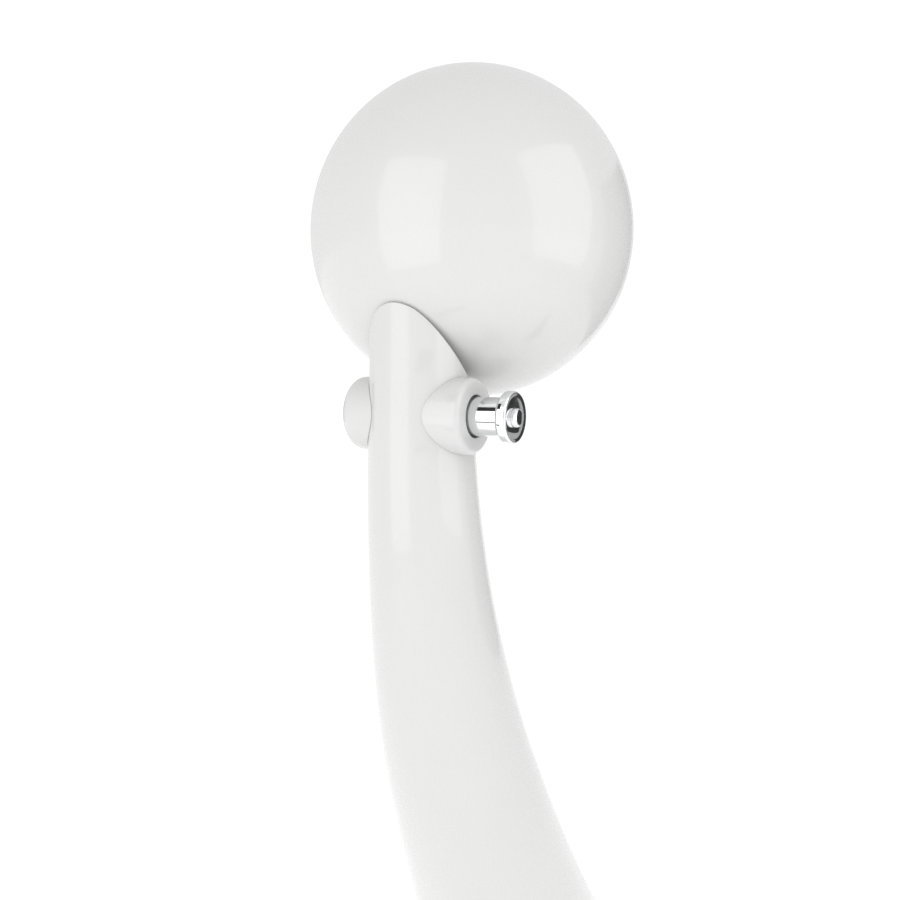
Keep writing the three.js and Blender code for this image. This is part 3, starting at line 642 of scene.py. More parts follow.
@dataclass
class Setting:
    """Where the lamp's main points lie, read from the frame.

    Attributes:
        pivot: middle of the tilt axis.
        ball_centre: centre of the ball.
        ball_radius: outside radius of the ball.
        screw_offsets: rear and side distance of the hub screws from the stalk's middle.
        screw_hole: radius of the hub screws' holes.
        lead_offset: rear distance of the lead's hole from the stalk's middle.
        lead_hole: radius of the lead's hole.
    """

    pivot: Points = field(init=False)
    ball_centre: Points = field(init=False)
    ball_radius: float = field(init=False)
    screw_offsets: tuple[float, float] = (18 * MM, 10 * MM)
    screw_hole: float = 2.7 * MM
    lead_offset: float = 12 * MM
    lead_hole: float = 3.8 * MM

    def __post_init__(self) -> None:
        """Reads the tilt joint and the ball's box."""
        tilt = next(j for j in frame["joints"] if j["name"] == "head_tilt")
        self.pivot = np.array(tilt["pos_m"], float)
        low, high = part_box("head_shell")
        self.ball_radius = (high.y - low.y) / 2
        self.ball_centre = np.array([low.x + self.ball_radius, 0.0, (low.z + high.z) / 2])

    @property
    def stalk(self) -> Points:
        """Unit vector from the pivot to the ball's centre."""
        line = self.ball_centre - self.pivot
        return line / np.linalg.norm(line)

    @property
    def distance(self) -> float:
        """Pivot to ball centre."""
        return float(np.linalg.norm(self.ball_centre - self.pivot))

    def side_axis(self, sign: int) -> Axis:
        """The tilt axis seen from the left (+1) or the right (-1) of the lamp."""
        return Axis(tuple(self.pivot), (0.0, float(sign), 0.0), (1.0, 0.0, 0.0))

    def head_axis(self) -> Axis:
        """The lamp unit's axis, forward from the ball's centre."""
        return Axis(tuple(self.ball_centre), (1.0, 0.0, 0.0), (0.0, 0.0, 1.0))

    def stalk_axis(self, rear: float = 0.0, across: float = 0.0) -> Axis:
        """An axis beside the stalk, moved toward its rear side and across the lamp."""
        up = self.stalk
        back = np.array([-up[2], 0.0, up[0]])
        start = self.pivot + rear * back + np.array([0.0, across, 0.0])
        return Axis(tuple(start), tuple(up), tuple(back))

    def hub_drills(self) -> list[bpy.types.Object]:
        """Cutters for the four screws and the lead that run through hub, ball and plate."""
        rear, side = self.screw_offsets
        cuts = [drill(self.screw_hole, 30 * MM, 60 * MM, self.stalk_axis(a * rear, b * side), 24)
                for a in (-1, 1) for b in (-1, 1)]
        return cuts + [drill(self.lead_hole, -40 * MM, 60 * MM, self.stalk_axis(self.lead_offset), 24)]


# ------------------------------------------------------------------ ball head


@dataclass
class BallHead:
    """The ball, its front ring, and the lamp unit inside, stations forward of its centre.

    The profiles are corners of radius, station and edge easing in millimetres.
    """

    setting: Setting
    wall: float = 2.5 * MM
    opening: float = 96 * MM
    lip: float = 0.8 * MM
    hub_flange_back: float = 33.34 * MM
    hub_dish: float = 26.8 * MM
    stud_bore: float = 5.3 * MM
    reflector_bore: float = 19.8
    reflector_seat: float = 34.0
    reflector_mouth: float = 106.06
    reflector_rise: float = 131.4
    reflector_back: float = 47.4
    reflector_front: float = 46.2
    reflector_sheet: float = 1.2
    ring: Profile = (
        (108.5, 82, 0.4), (110.5, 82, 0.4), (110.5, 96.3, 0.2), (116.2, 96.3, 0.3), (116.2, 97.6, 0.6),
        (114.8, 98.8, 0.9), (101.3, 98.8, 1.0), (99.8, 97.3, 0.6), (99.8, 95.5, 0.4), (108.5, 95.5, 0.3))
    holder: Profile = (
        (5.3, -97.6, 0.3), (14, -97.6, 1.2), (20, -88.6, 1.5), (20, -50.2, 0.3), (24.5, -50.2, 0.5),
        (24.5, -47.7, 0.4), (19.5, -47.7, 0.2), (19.5, -36, 0.8), (14.3, -36, 0.8), (14.3, -70.5, 0.5),
        (3, -70.5, 0.3), (3, -85.3, 0.2), (5.3, -85.3, 0.2))
    holder_ring: Profile = ((19.8, -45.9, 0.3), (27, -45.9, 0.5), (27, -39.9, 1.2), (19.8, -39.9, 0.6))
    screw_cap: Profile = (
        (0, -69.8, 0), (4.5, -69.8, 0.5), (6, -67, 0.8), (13.3, -62, 1.0), (13.3, -38, 0.2),
        (12.5, -38, 0.2), (12.5, -60.5, 0.4), (0, -60.5, 0))

    def shell(self) -> bpy.types.Object:
        """The ball: two arcs from the rear pole to the front plane, joined by an eased lip.

        Outer point = R (cos f, sin f) and inner point = (R - wall) (cos f, sin f) in radius
        and station, for f from -90 degrees to where the station reaches the opening.
        """
        outer_r, inner_r = self.setting.ball_radius, self.setting.ball_radius - self.wall

        def arc(radius: float, steps: int) -> Points:
            """Radius and station along one arc, stopping a lip short of the front plane."""
            end = np.arcsin(self.opening / radius) - self.lip / radius
            f = np.linspace(-np.pi / 2, end, steps)
            return np.stack([radius * np.cos(f), radius * np.sin(f)], axis=1)

        outer, inner = arc(outer_r, 110), arc(inner_r, 60)[::-1]
        outer[0, 0] = inner[-1, 0] = 0.0
        edge_out = np.array([np.sqrt(outer_r**2 - self.opening**2), self.opening])
        edge_in = np.array([np.sqrt(inner_r**2 - self.opening**2), self.opening])
        inward = np.array([self.lip, 0.0])
        profile = np.concatenate([outer[:-1], bend(outer[-1], edge_out, edge_out - inward),
                                  bend(edge_in + inward, edge_in, inner[0]), inner[1:]])
        piece = turned("ball_shell", profile, self.setting.head_axis(), 192, closed=False)
        machine(piece, self.setting.hub_drills())
        return piece

    def hub(self) -> bpy.types.Object:
        """The hub: a barrel on the tilt axis and a stalk whose flange is dished for the ball."""
        setting = self.setting
        seat = setting.ball_radius + FIT
        rim = np.linspace(self.hub_dish, 0.0, 24)
        dish = setting.distance - np.sqrt(seat**2 - rim**2)
        foot = outline([(0, 0, 0), (15, 0, 0), (15, self.hub_flange_back / MM, 1.5),
                        (28, self.hub_flange_back / MM, 1.0), (28, dish[0] / MM - 0.4, 1.0)], closed=False)
        profile = np.concatenate([foot, np.stack([rim, dish], axis=1)])
        stalk = turned("stalk", profile, setting.stalk_axis(), 96, closed=False)
        barrel = outline([(0, -27, 0), (20, -27, 0.8), (20, 27, 0.8), (0, 27, 0)], closed=False)
        piece = turned("hub", barrel, setting.side_axis(1), 96, closed=False)
        bore = drill(self.stud_bore, -40 * MM, 40 * MM, setting.side_axis(1))
        machine(piece, [bore, *setting.hub_drills()], [stalk])
        return piece

    def reflector(self) -> bpy.types.Object:
        """The reflector: a flat seat, then a bowl whose depth grows as share to the power 1.8."""
        share = np.linspace(0.0, 1.0, 48)
        radius = (self.reflector_seat + (self.reflector_mouth - self.reflector_seat) * share) * MM
        rise = (self.reflector_rise - self.reflector_sheet) * MM * share**1.8
        rear, face, bore = -self.reflector_back * MM, -self.reflector_front * MM, self.reflector_bore * MM
        back = np.stack([radius, rear + rise], axis=1)
        front = np.stack([radius - self.reflector_sheet * MM * share, face + rise], axis=1)
        edge = bend(back[-1], (back[-1] + front[-1]) / 2 + np.array([0, 0.6 * MM]), front[-1])
        profile = np.concatenate([[[bore, rear]], back[:-1], edge, front[::-1][1:], [[bore, face]]])
        return turned("reflector", profile, self.setting.head_axis(), 160)

    def bulb(self) -> bpy.types.Object:
        """The bulb: a straight neck, a pear eased as 3s^2 - 2s^3, and a round dome."""
        share = np.linspace(0.0, 1.0, 28)
        eased = share**2 * (3 - 2 * share)
        angle = np.linspace(0.0, np.pi / 2, 28)[1:]
        swell = np.stack([12.2 + 17.8 * eased, -34 + 49 * share], axis=1)
        dome = np.stack([30 * np.cos(angle), 15 + 30 * np.sin(angle)], axis=1)
        outer = np.concatenate([[[12.2, -59.5]], swell, dome]) * MM
        inner_dome = np.stack([29 * np.cos(angle), 15 + 29 * np.sin(angle)], axis=1)
        inner = np.concatenate([[[11.2, -59.5]], swell - [1.0, 0.0], inner_dome]) * MM
        outer[-1, 0] = inner[-1, 0] = 0.0
        profile = np.concatenate([inner[::-1], outer])
        return turned("bulb", profile, self.setting.head_axis(), 96, closed=False)

    def build(self, lacquer: Finish, steel: Finish, bakelite: Finish, glass: Finish, cable: Finish) -> None:
        """Builds and dresses the head.

        Args:
            lacquer: finish of the ball and its front ring.
            steel: finish of the hidden hardware.
            bakelite: finish of the lamp holder and the shade ring.
            glass: finish of the bulb.
            cable: finish of the head's lead.
        """
        axis = self.setting.head_axis()
        centre = tuple(self.setting.ball_centre)
        spun = SatinAluminium(name="spun_reflector", centre=centre)
        hub_metal = SatinAluminium(name="turned_hub", centre=tuple(self.setting.pivot),
                                   stretch=(1.0, 0.0, 1.0))
        cap = outline(self.screw_cap, closed=False)
        body = Body.HEAD
        dress(self.shell(), lacquer, body, "head_shell")
        dress(turned("front_ring", outline(self.ring), axis, 192), lacquer, body, "rim_ring")
        dress(self.reflector(), spun, body, "inner_reflector")
        dress(turned("holder", outline(self.holder), axis, 96), bakelite, body, "lamp_holder")
        dress(turned("holder_ring", outline(self.holder_ring), axis, 96), bakelite, body, "shade_ring")
        dress(turned("screw_cap", cap, axis, 96, closed=False), spun, body, "bulb_cap")
        dress(self.bulb(), glass, body, "bulb_glass")
        dress(self.hub(), hub_metal, body, "tilt_hub")
        paint(steel, "hub_backing_plate", "holder_bracket", "holder_bolt",
              "hub_screw_1", "hub_screw_2", "hub_screw_3", "hub_screw_4")
        paint(cable, "head_lead")


# ------------------------------------------------------------------ arm


@dataclass
class Arm:
    """The horn-shaped arm: a centreline of two arcs and an oval section that widens downward.

    Stations run down the arm in metres from the height of the tilt axis.
    """

    setting: Setting
    wall: float = 3.5 * MM
    forward: float = 7.9 * MM
    half_width: float = 45 * MM
    neck_slope: float = 0.02
    arm_slope: float = 0.085
    flare_start: float = -60 * MM
    flare_end: float = 200 * MM
    oval: float = 1.06
    upper_radius: float = 900 * MM
    upper_turn: float = np.radians(24)
    lower_radius: float = 2400 * MM
    lower_turn: float = np.radians(16)
    neck_top: float = -130 * MM
    mouth_radius: float = 326 * MM
    mouth_centre: tuple[float, float] = (241 * MM, 264 * MM)
    ball_clearance: float = 2 * MM
    max_tilt: float = np.radians(40)
    lip: float = 1.1 * MM
    spigot_hole: float = 26.3 * MM
    boss_radius: float = 32.3
    boss_spigot: float = 26.0
    boss_reach: float = 57.9
    boss_inner: float = 29.6
    boss_easing: float = 9.5
    knob_bore: float = 17.9
    cap_bore: float = 12.3

    @property
    def length(self) -> float:
        """Length of the centreline from the tilt axis to the foot."""
        return self.upper_radius * self.upper_turn + self.lower_radius * self.lower_turn

    def station(self, s: Points) -> tuple[Points, Points, Points]:
        """Centreline point and lean at stations s.

        Straight up above the axis. Below it x = forward + R (1 - cos a) and z = -R sin a with
        a = s / R, and past the upper arc the same with the lower radius, carried on from there.

        Args:
            s: stations.

        Returns:
            x and z counted from the pivot, and the lean from upright.
        """
        split = self.upper_radius * self.upper_turn
        upper = np.clip(s, 0.0, split) / self.upper_radius
        lower = np.maximum(s - split, 0.0) / self.lower_radius
        lean = upper + lower
        x = self.forward + self.upper_radius * (1 - np.cos(upper)) + self.lower_radius * (
            np.cos(upper) - np.cos(lean))
        z = -self.upper_radius * np.sin(upper) - self.lower_radius * (
            np.sin(lean) - np.sin(upper)) - np.minimum(s, 0.0)
        return x, z, lean

    def half(self, s: Points) -> Points:
        """Half width at stations s: its slope is constant, then grows evenly, then is constant."""
        start, end = self.flare_start, self.flare_end
        growth = (self.arm_slope - self.neck_slope) / (end - start)
        at_start = self.half_width + self.neck_slope * start - growth * start**2 / 2
        along = np.clip(s, start, end) - start
        flare = at_start + self.neck_slope * along + growth * along**2 / 2
        above = np.minimum(s - start, 0.0) * self.neck_slope
        return flare + above + np.maximum(s - end, 0.0) * self.arm_slope

    def skin(self, s: Points, turn: Points, inset: float = 0.0) -> Points:
        """Points on the horn: an oval of half width h and depth oval * h square to the centreline.

        Args:
            s: stations.
            turn: angle round the section, zero at the front.
            inset: how far inside the outer skin.

        Returns:
            Points with a last axis of three.
        """
        x, z, lean = self.station(s)
        across = (self.half(s) - inset) * np.sin(turn)
        out = (self.half(s) * self.oval - inset) * np.cos(turn)
        offset = np.stack([x + out * np.cos(lean), across, z + out * np.sin(lean)], axis=-1)
        return self.setting.pivot + offset

    def mouth_gap(self, points: Points) -> Points:
        """Distance from points to the nearest face that cuts the mouth, negative where cut away.

        The faces are one round face lying across the lamp and the ball, with its clearance, at
        every tilt it can take.
        """
        pivot = self.setting.pivot
        local = points - pivot
        face = np.hypot(local[..., 0] - self.mouth_centre[0], local[..., 2] - self.mouth_centre[1])
        gap = face - self.mouth_radius
        reach = self.setting.ball_centre - pivot
        for tilt in np.linspace(0.0, self.max_tilt, 41):
            x = reach[0] * np.cos(tilt) + reach[2] * np.sin(tilt)
            z = reach[2] * np.cos(tilt) - reach[0] * np.sin(tilt)
            away = np.linalg.norm(local - np.array([x, 0.0, z]), axis=-1)
            gap = np.minimum(gap, away - self.setting.ball_radius - self.ball_clearance)
        return gap

    def mouth_station(self, turn: Points, inset: float) -> Points:
        """The lowest station of the mouth's edge at each turn, found where the gap changes sign."""
        s = np.linspace(self.neck_top, 200 * MM, 3000)[:, None]
        gap = self.mouth_gap(self.skin(s, turn[None, :], inset))
        last = (len(s) - 1) - np.argmax(gap[::-1] < 0, axis=0)
        column = np.arange(len(turn))
        before, after = gap[last, column], gap[last + 1, column]
        return s[last, 0] + (s[1, 0] - s[0, 0]) * before / (before - after)

    def foot_station(self, turn: Points, inset: float) -> Points:
        """The station where each line down the arm meets the top of the base."""
        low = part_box("arm_shell_left")[0].z
        s = np.linspace(0.7 * self.length, self.length + 150 * MM, 1500)[:, None]
        height = self.skin(s, turn[None, :], inset)[..., 2] - low
        first = np.argmax(height < 0, axis=0)
        column = np.arange(len(turn))
        before, after = height[first - 1, column], height[first, column]
        return s[first - 1, 0] + (s[1, 0] - s[0, 0]) * before / (before - after)

    def shell(self) -> bpy.types.Object:
        """The arm's wall: outer skin up to the mouth, an eased lip, inner skin down to the foot.

        Each column of the grid is one line down the arm. Its stations are spread from mouth to
        foot so that rows are closer near the mouth: s = top + (foot - top) * share^1.25.
        """
        turn = turns(224)
        share = np.linspace(0.0, 1.0, 190)[:, None] ** 1.25
        sides = []
        for inset in (0.0, self.wall):
            top, foot = self.mouth_station(turn, inset), self.foot_station(turn, inset)
            s = top + self.lip + (foot - top - self.lip) * share
            corner = self.skin(top, turn, inset)
            sides.append((self.skin(s, turn[None, :], inset), corner))
        (outer, outer_corner), (inner, inner_corner) = sides
        across = inner_corner - outer_corner
        step = self.lip / np.linalg.norm(across, axis=-1, keepdims=True)
        round_out = np.moveaxis(bend(outer[0], outer_corner, outer_corner + across * step), 1, 0)
        round_in = np.moveaxis(bend(inner_corner - across * step, inner_corner, inner[0]), 1, 0)
        grid = np.concatenate([outer[::-1], round_out[1:], round_in, inner[1:]])
        piece = skin_mesh("arm_skin", grid, closed=True)
        side = self.setting.side_axis(1)
        machine(piece, [drill(self.spigot_hole, -90 * MM, 90 * MM, side, 96)])
        return piece

    def boss(self, name: str, sign: int, bore: float) -> bpy.types.Object:
        """A pivot boss: a round collar standing on the neck's skin, with a spigot into its bore.

        The collar's root follows the neck: at each point round it the root lies at
        h * sqrt(1 - (out / (oval * h))^2) from the arc plane, plus the air left between pieces.

        Args:
            name: the piece's name.
            sign: +1 for the left boss, -1 for the right one.
            bore: bore radius in millimetres.

        Returns:
            The boss.
        """
        axis = self.setting.side_axis(sign)
        turn = turns(160)
        radius, spigot, reach, inner = self.boss_radius, self.boss_spigot, self.boss_reach, self.boss_inner

        def root(r: float) -> Points:
            """Distance of the neck's skin from the arc plane at radius r, round the boss."""
            local = axis.point(np.full(len(turn), r), np.zeros(len(turn)), turn) - self.setting.pivot
            lean = np.arctan2(-local[:, 2], self.forward + self.upper_radius - local[:, 0])
            s = np.where(local[:, 2] > 0, -local[:, 2], self.upper_radius * lean)
            x, z, slope = self.station(s)
            out = (local[:, 0] - x) * np.cos(slope) + (local[:, 2] - z) * np.sin(slope)
            h = self.half(s) + FIT
            return h * np.sqrt(np.clip(1 - (out / (self.half(s) * self.oval + FIT)) ** 2, 0.0, 1.0))

        face = outline([(radius, 44, 0), (radius, reach, self.boss_easing), (bore, reach, 0.7),
                        (bore, inner, 0.4), (spigot, inner, 0.5), (spigot, 33, 0)])
        rows_r = np.repeat(face[:, :1], len(turn), axis=1)
        rows_s = np.repeat(face[:, 1:], len(turn), axis=1)
        ends = np.array([radius, spigot]) * MM
        foot_r = np.repeat(ends[::-1, None], len(turn), axis=1)
        foot_s = np.stack([root(ends[1]), root(ends[0])])
        grid = axis.point(np.concatenate([rows_r, foot_r]), np.concatenate([rows_s, foot_s]),
                          turn[None, :])
        return skin_mesh(name, grid, closed=True)

    def build(self, lacquer: Finish, enamel: Finish, steel: Finish, cable: Finish) -> None:
        """Builds and dresses the arm.

        Args:
            lacquer: finish of the arm.
            enamel: finish of the two bosses.
            steel: finish of the foot flange and its bolts.
            cable: finish of the lead in the arm.
        """
        dress(self.shell(), lacquer, Body.STAND, "arm_shell_left", "arm_shell_right")
        dress(self.boss("boss_right", -1, self.knob_bore), enamel, Body.STAND, "right_boss")
        dress(self.boss("boss_left", 1, self.cap_bore), enamel, Body.STAND, "left_boss")
        paint(steel, "arm_foot_flange", "foot_bolt_1", "foot_bolt_2", "foot_bolt_3", "foot_bolt_4")
        paint(cable, "arm_lead")


# ------------------------------------------------------------------ clamp on the tilt axis


@dataclass
class Clamp:
    """The stud, its washers, the hand knob on the right and the cap on the left.

    The profiles are corners of radius, distance from the arc plane and edge easing in
    millimetres. The cap's dome is part of a sphere that rises cap_rise over cap_radius.
    """

    setting: Setting
    count: int = 128
    cap_radius: float = 16.0
    cap_rise: float = 4.7
    cap_reach: float = 63.9
    stud: Profile = ((0, -88.7, 0), (5, -88.7, 0.8), (5, 56.1, 0.8), (0, 56.1, 0))
    washer: Profile = ((5.6, 27.3, 0.2), (24, 27.3, 0.3), (24, 29.3, 0.3), (5.6, 29.3, 0.2))
    thrust: Profile = ((5.6, 29.6, 0.2), (17, 29.6, 0.3), (17, 31.6, 0.3), (5.6, 31.6, 0.2))
    knob: Profile = (
        (5.3, 31.9, 0.3), (16.25, 31.9, 0.6), (16.25, 84, 0.5), (19, 84, 0.4), (21.5, 86.5, 0.5),
        (21.5, 92.4, 0.5), (20, 93.9, 0.8), (17.5, 92.9, 1.0), (8, 92.9, 0.3), (8, 89, 0.2),
        (5.3, 89, 0.2))
    button: Profile = ((0, 89.3, 0), (7.7, 89.3, 0.2), (7.7, 97.3, 2.4), (0, 97.3, 0))
    shank: Profile = (
        (0, 56.4, 0), (5.3, 56.4, 0.1), (5.3, 39.6, 0.3), (12, 39.6, 0.6), (12, 58.2, 0.1),
        (16, 58.2, 0.5), (16, 58.9, 0))

    def cap(self) -> Points:
        """The end cap's profile: its shank, then the dome from its rim to the axis."""
        out = np.linspace(self.cap_radius, 0.0, 20)
        sphere = (self.cap_radius**2 + self.cap_rise**2) / (2 * self.cap_rise)
        dome = np.stack([out, self.cap_reach - sphere + np.sqrt(sphere**2 - out**2)], axis=1) * MM
        return np.concatenate([outline(self.shank, closed=False), dome])

    def build(self, steel: Finish, fibre: Finish) -> None:
        """Builds and dresses the clamp.

        Args:
            steel: finish of the stud and the thrust washer.
            fibre: finish of the two friction washers.
        """
        left, right = self.setting.side_axis(1), self.setting.side_axis(-1)
        chrome = PolishedChrome(name="chrome_on_tilt_axis", centre=tuple(self.setting.pivot))
        stud, button = outline(self.stud, closed=False), outline(self.button, closed=False)
        washer, thrust, knob = outline(self.washer), outline(self.thrust), outline(self.knob)
        count = self.count
        dress(turned("stud", stud, left, count, closed=False), steel, Body.STAND, "pivot_stud")
        dress(turned("washer_left", washer, left, count), fibre, Body.STAND, "left_friction_washer")
        dress(turned("washer_right", washer, right, count), fibre, Body.STAND, "right_friction_washer")
        dress(turned("cap_left", self.cap(), left, count, closed=False), chrome, Body.STAND,
              "left_end_cap")
        dress(turned("washer_thrust", thrust, right, count), steel, Body.CARRIAGE, "thrust_washer")
        dress(turned("knob", knob, right, count), chrome, Body.KNOB, "clamp_knob")
        dress(turned("knob_button", button, right, count, closed=False), chrome, Body.KNOB, "knob_cap")


# ------------------------------------------------------------------ base


@dataclass
class Base:
    """The round weighted base, its foot switch and the cord inlet.

    All its sizes are in millimetres, and the profiles are corners of radius, station and
    edge easing.
    """

    radius: float = 225.0
    top: float = 30.0
    sheet: float = 2.5
    switch_spot: tuple[float, float] = (92.0, -160.0)
    bolt_spots: tuple[float, float] = (110.0, 60.0)
    plate_screw_circle: float = 210.0
    gland_height: float = 12.5
    hex_across_corners: float = 16.0
    pad: Profile = ((0, 0, 0), (200, 0, 0.8), (200, 2.9, 0.6), (0, 2.9, 0))
    bottom: Profile = ((0, 3.2, 0), (219, 3.2, 0.4), (219, 4.7, 0.4), (0, 4.7, 0))
    switch_case: Profile = (
        (0, 6.7, 0), (13.7, 6.7, 0.8), (13.7, 24, 0.2), (17.5, 24, 0.4), (17.5, 27.2, 0.4),
        (13.7, 27.2, 0.2), (13.7, 33, 0.5), (10.9, 33, 0.4), (10.9, 22, 0.3), (0, 22, 0))
    switch_collar: Profile = (
        (14, 30.3, 0.2), (19, 30.3, 0.3), (19, 32, 0.5), (17.8, 33.2, 0.6), (14, 33.2, 0.4))
    switch_push: Profile = (
        (0, 29.3, 0), (10.6, 29.3, 0.3), (10.6, 38.2, 2.6), (5, 38.6, 3.0), (0, 38.6, 0))
    gland_body: Profile = (
        (3.3, 212, 0.4), (5, 212, 0.5), (5, 225.3, 0), (8, 225.3, 0.2), (8, 233.2, 0.8),
        (6.8, 234, 0.4), (3.3, 234, 0.9))

    def upright(self, x: float = 0.0, y: float = 0.0) -> Axis:
        """A vertical axis through a point given in millimetres."""
        return Axis((x * MM, y * MM, 0.0), (0.0, 0.0, 1.0), (1.0, 0.0, 0.0))

    def gland_axis(self) -> Axis:
        """The cord inlet's axis, pointing to the rear."""
        return Axis((0.0, 0.0, self.gland_height * MM), (-1.0, 0.0, 0.0), (0.0, 0.0, 1.0))

    def cover(self) -> bpy.types.Object:
        """The pressed cover: a disc with an eased edge, holed for bolts, switch and inlet."""
        under, inside = self.top - self.sheet, self.radius - self.sheet
        profile = outline([(70, under, 0.3), (inside, under, 5.5), (inside, 3, 0.4), (self.radius, 3, 0.6),
                           (self.radius, self.top, 8), (70, self.top, 0.3)])
        piece = turned("cover", profile, self.upright(), 256)
        far, wide = self.bolt_spots
        cuts = [drill(4.3 * MM, 0.0, 50 * MM, self.upright(x, y), 32)
                for x in (-far, far) for y in (-wide, wide)]
        cuts.append(drill(14 * MM, 0.0, 50 * MM, self.upright(*self.switch_spot), 96))
        cuts.append(drill(5.3 * MM, 200 * MM, 240 * MM, self.gland_axis()))
        machine(piece, cuts)
        return piece

    def plate(self) -> bpy.types.Object:
        """The bottom plate with its screw holes."""
        piece = turned("plate", outline(self.bottom, closed=False), self.upright(), 192, closed=False)
        quarter = turns(4) + np.pi / 4
        spots = self.plate_screw_circle * np.stack([np.cos(quarter), np.sin(quarter)], axis=1)
        cuts = [drill(2.7 * MM, 0.0, 20 * MM, self.upright(x, y), 32) for x, y in spots]
        machine(piece, cuts + [drill(1.8 * MM, 0.0, 20 * MM, self.upright(), 32)])
        return piece

    def gland(self) -> bpy.types.Object:
        """The cord gland: a chamfered hexagon on a round shank, bored for the cord.

        At each turn the radius is the smaller of the profile's own and the hexagon's,
        apothem / cos(turn within its 60 degree side).
        """
        profile = outline(self.gland_body)
        turn = turns(144)
        within = np.mod(turn, np.pi / 3) - np.pi / 6
        hexagon = self.hex_across_corners / 2 * MM * np.cos(np.pi / 6) / np.cos(within)
        radius = np.minimum(profile[:, :1], hexagon[None, :])
        grid = self.gland_axis().point(radius, profile[:, 1:], turn[None, :])
        return skin_mesh("gland", grid, closed=True)

    def build(self, enamel: Finish, steel: Finish, iron: Finish, rubber: Finish, bakelite: Finish,
              ceramic: Finish, cable: Finish) -> None:
        """Builds and dresses the base.

        Args:
            enamel: finish of the cover.
            steel: finish of the bottom plate and the screws.
            iron: finish of the weight.
            rubber: finish of the floor pad.
            bakelite: finish of the switch body and the gland.
            ceramic: finish of the terminal block.
            cable: finish of the switch's lead.
        """
        spot = self.upright(*self.switch_spot)
        chrome = PolishedChrome(name="chrome_on_switch", centre=spot.origin, stretch=(1.0, 1.0, 0.0))
        pad, body, button = (outline(profile, closed=False)
                             for profile in (self.pad, self.switch_case, self.switch_push))
        stand = Body.STAND
        dress(self.cover(), enamel, stand, "base_cover")
        dress(self.plate(), steel, stand, "bottom_plate")
        dress(turned("pad", pad, self.upright(), 192, closed=False), rubber, stand, "floor_pad")
        dress(turned("switch_case", body, spot, 96, closed=False), bakelite, stand, "switch_body")
        dress(turned("switch_collar", outline(self.switch_collar), spot, 96), chrome, stand, "switch_ring")
        dress(turned("switch_push", button, spot, 96, closed=False), chrome, Body.BUTTON, "switch_button")
        dress(self.gland(), bakelite, stand, "cable_gland")
        paint(iron, "base_weight")
        paint(steel, "plate_screw_1", "plate_screw_2", "plate_screw_3", "plate_screw_4", "terminal_screw")
        paint(bakelite, "gland_nut")
        paint(ceramic, "terminal_block")
        paint(cable, "switch_lead")


# ------------------------------------------------------------------ studio


